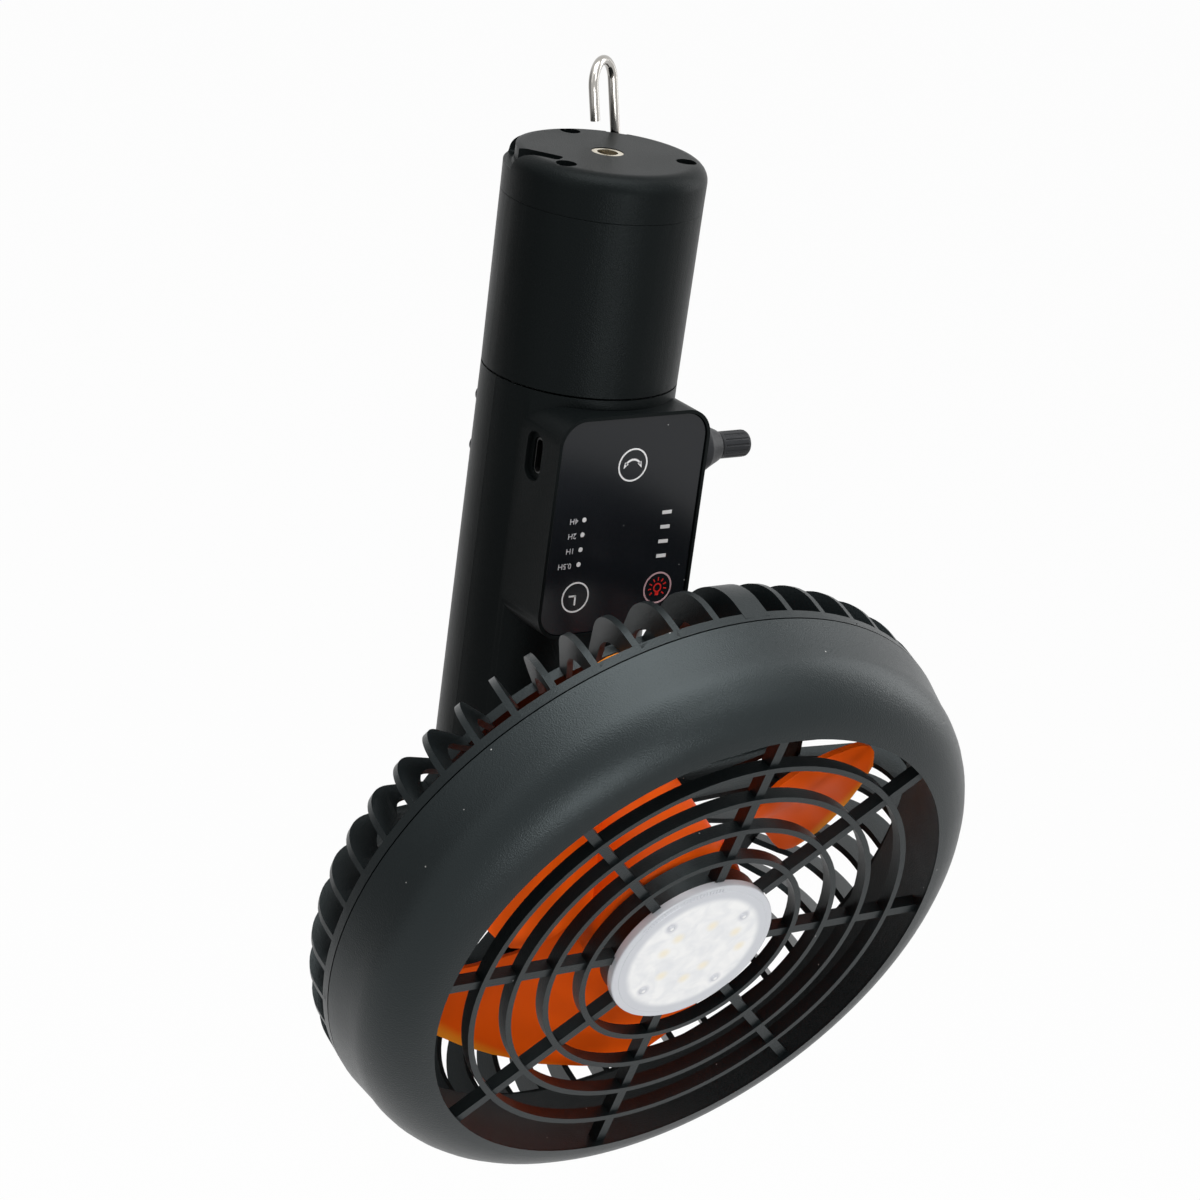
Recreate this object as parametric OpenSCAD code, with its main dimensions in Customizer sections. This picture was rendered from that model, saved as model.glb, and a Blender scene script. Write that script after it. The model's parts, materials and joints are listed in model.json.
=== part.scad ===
// Hanging camping fan with a round head, a control box and a folding hook.
// The tube hangs along Z from the hook, the control box faces -Y.

/* [Base] */
// outer radius of the base at its flat end
base_end_r = 25.6; // [24.5:0.1:28]
// length of the base from its flat end to the swivel seam
base_len = 56.8; // [52:0.5:75]
// height of the end cap
cap_h = 11.5; // [10.5:0.5:15]
// rounding of the end cap's edge
edge_round = 4.5; // [2.5:0.5:5.5]
// thickness of the flat end
end_plate = 2.6; // [2:0.1:3.2]
// moulded wall of the base and the tube
wall = 2.2; // [1.8:0.1:2.6]
// distance of the three screw holes from the axis
screw_ring_r = 19.7; // [18.8:0.1:20.2]
// radius of each screw hole in the flat end
screw_hole_r = 2.6; // [2.4:0.1:3]
// how far the screw heads lie below the flat end
screw_depth = 4.7; // [3.5:0.1:5]
// turn of the screw pattern
screw_turn = 85; // [75:1:95]
// outer radius of the tripod socket
socket_r = 4; // [3.8:0.1:4.6]
// thread radius of the tripod socket
socket_bore_r = 2.65; // [2.5:0.05:3.2]
// length of the tripod socket
socket_len = 8; // [6:0.5:9]
// width of the notch in the rim
notch_w = 3.8; // [3:0.1:4.6]
// depth of the notch in the rim
notch_depth = 4.8; // [3:0.1:5.4]
// distance of the notch's inner end from the axis
notch_in_r = 18; // [16:0.1:19]
// direction of the notch
notch_run = 125; // [110:1:140]

/* [Hook] */
// radius of the hook wire
wire_r = 1.25; // [1:0.05:1.5]
// height of the hook's bend over its hinge
hook_rise = 16.4; // [13:0.2:20]
// radius of the hook's bend on the wire's centre line
bend_r = 5.9; // [4.8:0.1:7]
// length of the hook's tip below the bend
tip_len = 8.2; // [5:0.2:10]
// place of the hook around the rim
hook_angle = 50; // [40:1:60]
// sideways lean of the hook
hook_lean = 10; // [0:1:12]
// turn of the bend against the hinge
hook_turn = 18; // [0:1:25]
// distance of the hinge pin from the axis
hinge_r = 23.2; // [22.9:0.1:23.5]
// depth of the hinge pin below the flat end
hinge_drop = 3; // [2.8:0.1:3.4]
// radius of the hinge pin
hinge_pin_r = 0.8; // [0.7:0.05:0.9]
// radius of the eye at the foot of the hook
eye_r = 1.9; // [1.7:0.05:2]
// width of the eye
eye_w = 4.6; // [4:0.1:5]

/* [Tube] */
// outer radius of the upper tube
tube_r = 25; // [24.4:0.1:26.5]
// room in the tube above the battery cells
cell_room = 30.2; // [30:0.2:36]
// thickness of the swivel plate
swivel_plate_h = 3; // [2.4:0.1:3.6]
// radius of the swivel spigot
spigot_r = 9; // [8:0.1:10]
// thickness of the floor of the base
floor_h = 2.5; // [2:0.1:3]
// seam between the base and the upper tube
seam = 0.5; // [0.4:0.05:0.8]

/* [Control box] */
// width of the control box
box_w = 45.6; // [43:0.2:48]
// height of the control box
box_h = 58.7; // [55:0.2:62]
// distance of the box front from the axis
box_front = 27.9; // [27.2:0.1:30]
// top of the box below the flat end of the base
box_top = 59.4; // [59.4:0.1:64]
// corner radius of the box
box_corner = 7.5; // [5:0.1:10]
// width of the rim round the glossy panel
rim_w = 1; // [0.8:0.1:1.4]
// thickness of the glossy panel
panel_t = 2; // [1.6:0.1:2.4]
// how far the panel lies behind the rim
panel_sink = 0.4; // [0.2:0.05:0.6]
// height of the charging port and the knob below the flat end of the base
port_drop = 72.3; // [71:0.1:76]
// distance of the charging port from the axis, towards the front
port_y = 17.2; // [16.6:0.1:17.6]
// distance of the knob from the axis, towards the front
knob_y = 21; // [20.4:0.1:21.2]
// radius of the knob
knob_r = 3.5; // [3:0.1:4.2]
// length of the knob
knob_len = 9.2; // [7:0.1:11]
// number of flutes in the knob
knob_flutes = 14; // [10:1:18]
// radius of the collar under the knob
collar_r = 6.3; // [5.5:0.1:6.4]
// height of the collar under the knob
collar_h = 7.4; // [6:0.1:9]

/* [Battery] */
// radius of a battery cell
cell_r = 9.2; // [9:0.05:9.4]
// length of a battery cell
cell_len = 65; // [64:0.5:66]

/* [Tilt hinge] */
// distance of the tilt pin from the tube's axis, towards the front
pivot_y = 8; // [7:0.1:9]
// distance of the tilt pin below the end of the tube
pivot_drop = 11; // [10.6:0.1:13]
// radius of the tilt pin
tilt_pin_r = 3; // [2.5:0.1:3.4]
// radius of the barrel on the tilt pin
barrel_r = 8; // [7.4:0.1:8.4]
// width of the barrel
barrel_w = 26; // [22:0.2:28]
// thickness of each ear of the yoke
ear_t = 5; // [4:0.1:6]
// tilt of the fan head below level
tilt = 20.45; // [18:0.05:24]
// distance from the tilt pin to the front opening
reach = 71.35; // [70:0.05:76]
// rise of the head's axis over the tilt pin
rise = 13.6; // [12:0.1:16]

/* [Fan head] */
// radius of the bezel at the end of its front rounding
bezel_r = 86.7; // [84:0.1:90]
// width of the bezel from the opening to the end of its rounding
bezel_width = 14.95; // [13:0.05:16]
// radius of the bezel's front rounding
bezel_round = 16.6; // [15.6:0.1:17.6]
// widening of the bezel towards its back edge
bezel_flare = 1.5; // [1:0.1:2.2]
// depth of the bezel
bezel_depth = 25; // [23:0.1:27]
// widening of the duct from the opening to the back of the bezel
duct_flare = 5.7; // [4:0.1:6.5]
// wall of the bezel
bezel_wall = 2; // [1.6:0.1:2.4]
// depth of the whole head behind the opening
head_depth = 52; // [50:0.1:54]
// radius of the fins' outer curve
fin_round = 16.5; // [15:0.1:17.5]
// radius of the fins' inner curve
fin_in_round = 14.3; // [13:0.1:15]
// depth of a fin beside the bezel
fin_depth = 7.9; // [6.5:0.1:9]
// thickness of a fin
fin_t = 1.7; // [1.3:0.1:2.1]
// number of fins
fin_count = 50; // [40:2:60]
// width of the wide rib at the top of the cage
wide_rib = 7.2; // [5:0.1:9]
// width of the flat ring in the back of the cage
back_ring_w = 6; // [4:0.1:7]
// distance of that ring from the outside of the cage
back_ring_in = 27.2; // [26:0.1:29]
// depth of the bars in the back of the cage
back_bar_h = 4.2; // [3:0.1:5]
// width of the bars in the back of the cage
back_bar_w = 1.7; // [1.2:0.1:2.4]
// radius of the hub at the back of the cage
back_hub_r = 24; // [23.5:0.1:28]

/* [Front grille] */
// distance from the lamp lens to the middle of the first grille ring
first_ring_gap = 7.85; // [6:0.05:9]
// number of grille rings
ring_count = 4; // [3:1:4]
// width of a grille ring
ring_w = 1.6; // [1.2:0.1:2]
// depth of the grille's ribs
rib_depth = 3.6; // [3:0.1:4.5]
// number of spokes
spoke_count = 8; // [6:1:10]
// width of a spoke
spoke_w = 2.6; // [2:0.1:3.2]
// radius of the lamp lens
lens_r = 22.9; // [21.5:0.1:24]
// crown of the lamp lens
lens_crown = 1.8; // [1:0.1:2.6]
// depth of the lamp cup
lamp_depth = 8.4; // [7.6:0.1:8.6]

/* [Fan blades] */
// gap between the blade tips and the opening, seen from the front
tip_gap = 5.2; // [4.5:0.1:8]
// number of blades
blade_count = 3; // [2:1:5]
// rise of a blade for each degree
blade_rise = 0.17; // [0.12:0.01:0.22]
// sweep of a blade at its tip, back from its front edge
blade_sweep = 93; // [70:1:96]
// how much less the sweep is beside the hub
sweep_loss = 20; // [10:1:30]
// how far the blade's front edge runs ahead beside the hub
root_lead = 16; // [0:1:18]
// thickness of a blade along the axis
blade_t = 1.7; // [1.4:0.1:2]
// turn of the first blade's front edge
blade_turn = 61; // [40:1:80]
// depth of the blades' front edge behind the opening
blade_front = 15; // [14.5:0.1:16]
// radius of the rotor hub
rotor_hub_r = 19.6; // [19.2:0.1:21]
// radius of the fan motor
motor_r = 16.4; // [15:0.1:16.6]
// radius of the swing motor's can
swing_can_r = 14; // [10:0.5:15]
// length of the swing motor's can
swing_can_h = 17; // [12:0.5:18]
// radius of the motor shaft
shaft_r = 1.5; // [1.2:0.1:2]

/* [Fits] */
// radial clearance of turning fits
run_gap = 0.05; // [0.03:0.01:0.09]
// gap between seated pieces of one body
seat_gap = 0.1; // [0.05:0.01:0.15]
// gap between pieces that move past each other
move_gap = 0.4; // [0.35:0.05:0.6]

/* [Hidden] */
eps = 0.01;
wide_fn = 96;
mid_fn = 48;
small_fn = 24;

function arc_pts(c, r, a0, a1, n) = [for (i = [0 : n]) c + r * [cos(a0 + (a1 - a0) * i / n),
  sin(a0 + (a1 - a0) * i / n)]];

// the taper of the base reaches the tube's radius at the seam
taper = (base_end_r - tube_r) / base_len;
function base_r(z) = base_end_r + taper * z;

// hook path: the bearing point is the inside of the bend
hook_foot = [hinge_r * cos(hook_angle), hinge_r * sin(hook_angle), -hinge_drop];
hook_crest = [bend_r * cos(hook_turn), -bend_r * sin(hook_turn), hook_rise + bend_r - wire_r];
crest_leant = [hook_crest[0], hook_crest[1] * cos(hook_lean) - hook_crest[2] * sin(hook_lean),
  hook_crest[1] * sin(hook_lean) + hook_crest[2] * cos(hook_lean)];
hook_yaw = 180 + hook_angle;
hang = hook_foot + [crest_leant[0] * cos(hook_yaw) - crest_leant[1] * sin(hook_yaw),
  crest_leant[0] * sin(hook_yaw) + crest_leant[1] * cos(hook_yaw), crest_leant[2]];

cell_end_gap = 8;
tube_end = base_len + cell_room + cell_len + cell_end_gap;
pivot_z = -tube_end - pivot_drop;
yoke_flange_h = 2;
yoke_spigot_h = 4;

module from_hook() {
  translate(-hang)
    children();
}

module at_pivot() {
  from_hook()
    translate([0, -pivot_y, pivot_z])
      rotate([90 + tilt, 0, 0])
        children();
}

module at_head() {
  at_pivot()
    translate([0, rise, reach])
      children();
}

module round_rect(w, h, r) {
  union() {
    square([w - 2 * r, h], center = true);
    square([w, h - 2 * r], center = true);
    for (x = [-1, 1])
      for (y = [-1, 1])
        translate([x * (w / 2 - r), y * (h / 2 - r)])
          circle(r = r, $fn = mid_fn);
  }
}

// ---- base

cap_in_r = base_r(-cap_h) - wall;
screw_head_h = 1.8;
base_screw_len = 9;
screw_seat_z = -screw_depth - screw_head_h;
boss_end_z = screw_seat_z - 2.2;
screw_r = 1;
boss_r = screw_hole_r + 1.4;

module screw_places() {
  for (i = [0 : 2])
    rotate([0, 0, screw_turn + 120 * i])
      translate([screw_ring_r, 0, 0])
        children();
}

module cap_profile() {
  polygon(concat([[0, 0]],
    arc_pts([base_end_r - edge_round, -edge_round], edge_round, 90, 0, 7),
    [[base_r(-cap_h), -cap_h], [cap_in_r, -cap_h], [cap_in_r, -end_plate - 1.6],
      [cap_in_r - 1.6, -end_plate], [0, -end_plate]]));
}

notch_turn = 8;
slot_in_r = hinge_r - eye_r - 0.35;
slot_w = eye_w + 0.8;
slot_low = -hinge_drop - eye_r - 0.5;

module base_cap() {
  color([0.2, 0.22, 0.24])
    from_hook()
      difference() {
        union() {
          rotate_extrude($fn = wide_fn)
            cap_profile();
          // socket boss and screw bosses
          translate([0, 0, -socket_len - 1])
            cylinder(r = socket_r + 1.8, h = socket_len + 1 - end_plate + eps, $fn = mid_fn);
          intersection() {
            screw_places()
              translate([0, 0, boss_end_z])
                cylinder(r = boss_r, h = -boss_end_z - end_plate + eps, $fn = small_fn);
            translate([0, 0, -cap_h])
              cylinder(r = cap_in_r + eps, h = cap_h, $fn = wide_fn);
          }
          // cheeks that carry the hinge pin
          intersection() {
            rotate([0, 0, hook_angle])
              translate([slot_in_r - 1.6, -slot_w / 2 - 2, slot_low - 1.5])
                cube([8, slot_w + 4, -slot_low + 1.5 - end_plate + eps]);
            translate([0, 0, -cap_h])
              cylinder(r = cap_in_r + eps, h = cap_h, $fn = wide_fn);
          }
        }
        translate([0, 0, -socket_len])
          cylinder(r = socket_r + seat_gap, h = socket_len + 1, $fn = mid_fn);
        screw_places() {
          translate([0, 0, screw_seat_z])
            cylinder(r = screw_hole_r, h = 12, $fn = mid_fn);
          translate([0, 0, -cap_h])
            cylinder(r = screw_r + 0.3, h = cap_h, $fn = small_fn);
        }
        // slot of the hook
        rotate([0, 0, hook_angle])
          translate([slot_in_r, -slot_w / 2, slot_low])
            cube([8, slot_w, 12]);
        rotate([0, 0, hook_angle])
          translate([hinge_r, 0, -hinge_drop])
            rotate([90, 0, 0])
              cylinder(r = hinge_pin_r + 0.02, h = slot_w + 2.4, center = true, $fn = small_fn);
        // oblique notch in the rim
        translate([-notch_in_r * cos(notch_turn), -notch_in_r * sin(notch_turn), -notch_depth])
          rotate([0, 0, notch_run])
            union() {
              cylinder(r = notch_w / 2, h = notch_depth + 1, $fn = mid_fn);
              translate([0, -notch_w / 2, 0])
                cube([base_end_r, notch_w, notch_depth + 1]);
            }
      }
}

post_r = 3.6;
shelf_z = -47;
motor_flange_r = 20;

module base_tube() {
  color([0.2, 0.22, 0.24])
    from_hook()
      difference() {
        union() {
          rotate_extrude($fn = wide_fn)
            polygon([[base_r(-cap_h) - 0.15, -cap_h - seat_gap], [base_r(-cap_h - 0.3), -cap_h - 0.3],
              [base_r(-base_len + seam), -base_len + seam], [spigot_r + run_gap, -base_len + seam],
              [spigot_r + run_gap, -base_len + seam + floor_h],
              [tube_r - wall, -base_len + seam + floor_h], [tube_r - wall, shelf_z - 2],
              [16, shelf_z], [16, shelf_z + 1.6],
              [tube_r - wall, shelf_z + 1.6], [base_r(-cap_h - 4) - wall, -cap_h - 4],
              [cap_in_r - 1.6, -cap_h - 2], [cap_in_r - 1.6, boss_end_z - 0.8],
              [cap_in_r - seat_gap, boss_end_z - 0.8], [cap_in_r - seat_gap, -cap_h - seat_gap]]);
          intersection() {
            screw_places()
              translate([0, 0, -24])
                cylinder(r = post_r, h = 24 + boss_end_z - seat_gap, $fn = small_fn);
            translate([0, 0, -30])
              cylinder(r = cap_in_r - 0.9, h = 30, $fn = wide_fn);
          }
        }
        screw_places()
          translate([0, 0, -22])
            cylinder(r = screw_r + 0.02, h = 22, $fn = small_fn);
      }
}

module tripod_socket() {
  color([0.8, 0.78, 0.7])
    from_hook()
      translate([0, 0, -socket_len])
        difference() {
          cylinder(r = socket_r, h = socket_len - 0.15, $fn = mid_fn);
          translate([0, 0, -1])
            cylinder(r = socket_bore_r, h = socket_len + 2, $fn = mid_fn);
        }
}

module small_screw(head_r, head_h, r, len) {
  difference() {
    union() {
      cylinder(r = head_r, h = head_h, $fn = small_fn);
      translate([0, 0, -len])
        cylinder(r = r, h = len + eps, $fn = small_fn);
    }
    for (a = [0, 90])
      rotate([0, 0, a])
        translate([-head_r * 0.6, -head_r * 0.12, head_h * 0.45])
          cube([head_r * 1.2, head_r * 0.24, head_h]);
  }
}

module base_screws() {
  color([0.55, 0.56, 0.58])
    from_hook()
      screw_places()
        translate([0, 0, screw_seat_z])
          small_screw(screw_hole_r - 0.25, screw_head_h, screw_r, base_screw_len);
}

// ---- hook

module in_hook_frame() {
  from_hook()
    translate(hook_foot)
      rotate([0, 0, hook_yaw])
        children();
}

module hook() {
  color([0.82, 0.83, 0.85])
    in_hook_frame()
      difference() {
        union() {
          rotate([hook_lean, 0, 0])
            rotate([0, 0, -hook_turn]) {
              cylinder(r = wire_r, h = hook_rise, $fn = small_fn);
              translate([bend_r, 0, hook_rise])
                rotate([90, 0, 0])
                  rotate_extrude(angle = 180, $fn = wide_fn)
                    translate([bend_r, 0])
                      circle(r = wire_r, $fn = small_fn);
              translate([2 * bend_r, 0, hook_rise - tip_len])
                cylinder(r = wire_r, h = tip_len, $fn = small_fn);
            }
          rotate([90, 0, 0])
            cylinder(r = eye_r, h = eye_w, center = true, $fn = mid_fn);
        }
        rotate([90, 0, 0])
          cylinder(r = hinge_pin_r + run_gap, h = eye_w + 2, center = true, $fn = mid_fn);
      }
}

module hook_pin() {
  color([0.7, 0.71, 0.73])
    in_hook_frame()
      rotate([90, 0, 0])
        cylinder(r = hinge_pin_r, h = slot_w + 2, center = true, $fn = mid_fn);
}

// ---- swing drive and swivel

swing_shaft_r = 2.5;

module swing_motor() {
  color([0.75, 0.76, 0.76])
    from_hook()
      union() {
        translate([0, 0, shelf_z + 1.6])
          cylinder(r = motor_flange_r, h = 1.2, $fn = mid_fn);
        translate([0, 0, shelf_z + 2.8 - eps])
          cylinder(r = swing_can_r, h = swing_can_h, $fn = mid_fn);
        translate([0, 0, shelf_z - 0.5])
          cylinder(r = 4.5, h = 3, $fn = small_fn);
        translate([0, 0, -base_len + 2])
          cylinder(r = swing_shaft_r, h = base_len - 2 + shelf_z, $fn = small_fn);
      }
}

spigot_top = -base_len + seam + floor_h + move_gap;
plate_top = -base_len - 0.3;
plate_low = plate_top - swivel_plate_h;

module swivel_plate() {
  color([0.3, 0.31, 0.33])
    from_hook()
      difference() {
        union() {
          translate([0, 0, plate_low])
            cylinder(r = tube_r - wall - seat_gap, h = swivel_plate_h, $fn = wide_fn);
          translate([0, 0, plate_top - eps])
            cylinder(r = spigot_r, h = spigot_top + 2.2 - plate_top, $fn = mid_fn);
        }
        translate([0, 0, plate_low - 1])
          cylinder(r = swing_shaft_r + run_gap, h = 14, $fn = mid_fn);
      }
}

module swivel_ring() {
  color([0.75, 0.76, 0.76])
    from_hook()
      translate([0, 0, spigot_top])
        difference() {
          cylinder(r = spigot_r + 3.2, h = 1.8, $fn = mid_fn);
          translate([0, 0, -1])
            cylinder(r = spigot_r + 0.02, h = 5, $fn = mid_fn);
        }
}

// ---- upper tube and control box

tube_top = -base_len;
box_mid = -box_top - box_h / 2;
panel_w = box_w - 2 * rim_w;
panel_h = box_h - 2 * rim_w;
panel_corner = box_corner - rim_w;
ledge = 1.6;
side_wall = rim_w + ledge;
port_z = -port_drop;
port_recess = 1.2;

module tube_half(side) {
  difference() {
    translate([0, 0, -tube_end])
      cylinder(r = tube_r, h = tube_end + tube_top, $fn = wide_fn);
    translate([0, 0, -tube_end - 1])
      cylinder(r = tube_r - wall, h = tube_end + 2, $fn = wide_fn);
    translate([-tube_r - 1, side > 0 ? -2 * tube_r : -seat_gap / 2, -tube_end - 1])
      cube([2 * tube_r + 2, 2 * tube_r + seat_gap / 2, tube_end + 2]);
  }
}

module box_shape(w, h, r, y0, y1) {
  translate([0, y1, box_mid])
    rotate([90, 0, 0])
      linear_extrude(height = y1 - y0)
        round_rect(w, h, r);
}

rear_screw_z = [-66.5, -80];
rear_boss_x = 18.4;
front_boss_y = 4;
rear_seat_y = 13;
housing_screw_len = rear_seat_y + 3;

module housing_front() {
  color([0.2, 0.22, 0.24])
    from_hook()
      difference() {
        union() {
          difference() {
            union() {
              tube_half(-1);
              difference() {
                box_shape(box_w, box_h, box_corner, -box_front, -4);
                translate([0, 0, -tube_end])
                  cylinder(r = tube_r - wall, h = tube_end, $fn = wide_fn);
              }
            }
            // hollow behind the panel
            box_shape(box_w - 2 * side_wall, box_h - 2 * side_wall, box_corner - side_wall,
              -box_front - 1, -8);
          }
          rear_boss_places()
            translate([0, -14, 0])
              rotate([-90, 0, 0])
                cylinder(r = 3.2, h = 14 + front_boss_y, $fn = small_fn);
        }
        rear_boss_places()
          translate([0, -8, 0])
            rotate([-90, 0, 0])
              cylinder(r = 1.12, h = 20, $fn = small_fn);
        // seat of the panel
        box_shape(panel_w + 2 * seat_gap, panel_h + 2 * seat_gap, panel_corner + seat_gap,
          -box_front - 1, -box_front + panel_sink + panel_t + seat_gap);
        // charging port
        translate([-box_w / 2 + port_recess, -port_y, port_z])
          rotate([0, -90, 0])
            linear_extrude(height = 5)
              round_rect(12.6, 6.8, 3);
        translate([-box_w / 2 + 8, -port_y, port_z])
          rotate([0, -90, 0])
            linear_extrude(height = 12)
              round_rect(9.6, 3.8, 1.7);
        // shaft of the knob
        translate([box_w / 2 - 6, -knob_y, port_z])
          rotate([0, 90, 0])
            cylinder(r = pot_shaft_r + 0.5, h = 12, $fn = small_fn);
      }
}

module rear_boss_places() {
  for (z = rear_screw_z)
    for (x = [-1, 1])
      translate([x * rear_boss_x, 0, z])
        children();
}

module housing_rear() {
  color([0.2, 0.22, 0.24])
    from_hook()
      difference() {
        union() {
          tube_half(1);
          intersection() {
            rear_boss_places()
              translate([0, front_boss_y + seat_gap, 0])
                rotate([-90, 0, 0])
                  cylinder(r = 3.8, h = tube_r, $fn = small_fn);
            translate([0, 0, -tube_end])
              cylinder(r = tube_r - wall + eps, h = tube_end, $fn = wide_fn);
          }
        }
        rear_boss_places()
          rotate([-90, 0, 0])
            cylinder(r = 1.3, h = 30, $fn = small_fn);
        rear_boss_places()
          translate([0, rear_seat_y, 0])
            rotate([-90, 0, 0])
              cylinder(r = 2.6, h = tube_r, $fn = small_fn);
      }
}

module housing_screws() {
  color([0.25, 0.26, 0.28])
    from_hook()
      rear_boss_places()
        translate([0, rear_seat_y + seat_gap, 0])
          rotate([-90, 0, 0])
            small_screw(2.4, 1.4, 1.1, housing_screw_len);
}

module control_panel() {
  color([0.05, 0.06, 0.08])
    from_hook()
      box_shape(panel_w, panel_h, panel_corner, -box_front + panel_sink,
        -box_front + panel_sink + panel_t);
}

board_back = -port_y - 1.6;
board_t = 1.6;
pot_shaft_r = 1.5;
pot_w = 8.4;

module control_board() {
  color([0.1, 0.35, 0.2])
    from_hook()
      difference() {
        translate([-box_w / 2 + side_wall + 0.4, board_back - board_t, -box_top - box_h + side_wall + 3])
          cube([box_w - 2 * side_wall - 0.8, board_t, box_h - 2 * side_wall - 6]);
        translate([box_w / 2 - side_wall - 9, board_back - board_t - 1, port_z - pot_w / 2 - 0.4])
          cube([12, board_t + 2, pot_w + 0.8]);
      }
}

module usb_socket() {
  color([0.78, 0.79, 0.8])
    from_hook()
      difference() {
        translate([-box_w / 2 + port_recess + 0.4 + 8, -port_y, port_z])
          rotate([0, -90, 0])
            linear_extrude(height = 8)
              round_rect(9.2, 3.2, 1.5);
        translate([-box_w / 2 + port_recess + 6, -port_y, port_z])
          rotate([0, -90, 0])
            linear_extrude(height = 8)
              round_rect(8.4, 2.5, 1.2);
      }
}

collar_x = box_w / 2;

module knob_collar() {
  color([0.17, 0.19, 0.21])
    from_hook()
      translate([collar_x + seat_gap / 2, -knob_y, port_z])
        rotate([0, 90, 0])
          difference() {
            rotate_extrude($fn = mid_fn)
              polygon([[0, 0], [collar_r, 0], [collar_r, collar_h * 0.3],
                [collar_r - 0.6, collar_h * 0.46], [knob_r + 0.7, collar_h * 0.92],
                [knob_r + 0.3, collar_h], [0, collar_h]]);
            translate([0, 0, -1])
              cylinder(r = pot_shaft_r + run_gap, h = collar_h + 2, $fn = mid_fn);
          }
}

pot_x1 = box_w / 2 - side_wall - seat_gap;

module speed_pot() {
  color([0.3, 0.3, 0.32])
    from_hook()
      translate([pot_x1 - 6, -knob_y, port_z])
        difference() {
          translate([0, -pot_w / 2, -pot_w / 2])
            cube([6, pot_w, pot_w]);
          translate([2, 0, 0])
            rotate([0, 90, 0])
              cylinder(r = pot_shaft_r + run_gap, h = 8, $fn = mid_fn);
        }
}

module speed_knob() {
  color([0.13, 0.14, 0.16])
    from_hook()
      translate([collar_x, -knob_y, port_z])
        rotate([0, 90, 0])
          union() {
            translate([0, 0, -side_wall - 3])
              cylinder(r = pot_shaft_r, h = side_wall + 3 + collar_h + move_gap + 1, $fn = mid_fn);
            translate([0, 0, collar_h + move_gap])
              difference() {
                rotate_extrude($fn = mid_fn)
                  polygon(concat([[0, 0], [knob_r, 0]],
                    arc_pts([knob_r - 1.4, knob_len - 1.4], 1.4, 0, 90, 4), [[0, knob_len]]));
                for (i = [0 : knob_flutes - 1])
                  rotate([0, 0, 360 * i / knob_flutes])
                    translate([knob_r + 0.12, 0, 0.8])
                      cylinder(r = 0.4, h = knob_len, $fn = 13);
              }
          }
}

// ---- battery

cell_ring = 2 * (cell_r + 0.1) / sqrt(3);
cell_top = -base_len - cell_room;

module cell_places() {
  for (a = [90, 210, 330])
    rotate([0, 0, a])
      translate([cell_ring, 0, 0])
        children();
}

module battery_cells() {
  color([0.15, 0.45, 0.7])
    from_hook()
      cell_places()
        union() {
          translate([0, 0, cell_top - cell_len])
            cylinder(r = cell_r, h = cell_len - 1.2, $fn = mid_fn);
          translate([0, 0, cell_top - 1.2 - eps])
            cylinder(r = 3, h = 1.2, $fn = small_fn);
        }
}

module battery_frame() {
  color([0.1, 0.1, 0.11])
    from_hook()
      difference() {
        union() {
          for (z = [cell_top - 7, cell_top - cell_len - 2])
            translate([0, 0, z])
              cylinder(r = tube_r - wall - 0.3, h = 9, $fn = wide_fn);
          translate([0, 0, cell_top - cell_len])
            cylinder(r = 1.2, h = cell_len, $fn = small_fn);
        }
        cell_places()
          translate([0, 0, cell_top - cell_len - seat_gap])
            cylinder(r = cell_r + seat_gap / 2, h = cell_len + 2 * seat_gap, $fn = mid_fn);
        // room for the circuit board
        translate([-tube_r, board_back + 1 - tube_r, -tube_end])
          cube([2 * tube_r, tube_r, tube_end]);
      }
}

// ---- tilt hinge

ear_x = barrel_w / 2 + move_gap;

module neck_yoke() {
  color([0.2, 0.22, 0.24])
    from_hook()
      difference() {
        union() {
          translate([0, 0, -tube_end - seat_gap])
            cylinder(r = tube_r - wall - seat_gap, h = yoke_spigot_h, $fn = wide_fn);
          rotate_extrude($fn = wide_fn)
            polygon([[0, -tube_end - seat_gap], [tube_r, -tube_end - seat_gap],
              [tube_r, -tube_end - yoke_flange_h * 0.4], [tube_r - 1.2, -tube_end - yoke_flange_h],
              [0, -tube_end - yoke_flange_h]]);
          for (s = [-1, 1])
            translate([s * (ear_x + ear_t / 2), 0, 0])
              difference() {
                union() {
                  translate([-ear_t / 2, -pivot_y - barrel_r, pivot_z])
                    cube([ear_t, 2 * barrel_r, pivot_drop - yoke_flange_h + eps]);
                  translate([0, -pivot_y, pivot_z])
                    rotate([0, 90, 0])
                      cylinder(r = barrel_r, h = ear_t, center = true, $fn = mid_fn);
                }
              }
        }
        translate([0, -pivot_y, pivot_z])
          rotate([0, 90, 0])
            cylinder(r = tilt_pin_r + 0.02, h = 80, center = true, $fn = mid_fn);
      }
}

module tilt_pin() {
  color([0.7, 0.71, 0.73])
    from_hook()
      translate([0, -pivot_y, pivot_z])
        rotate([0, 90, 0])
          cylinder(r = tilt_pin_r, h = barrel_w + 2 * ear_t + 2 * move_gap - 0.6, center = true,
            $fn = mid_fn);
}

mount_t = 3;
mount_r = back_hub_r - 2;
arm_low = -rise - barrel_r * 0.9;
arm_high = -rise + barrel_r * 0.9;

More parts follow.
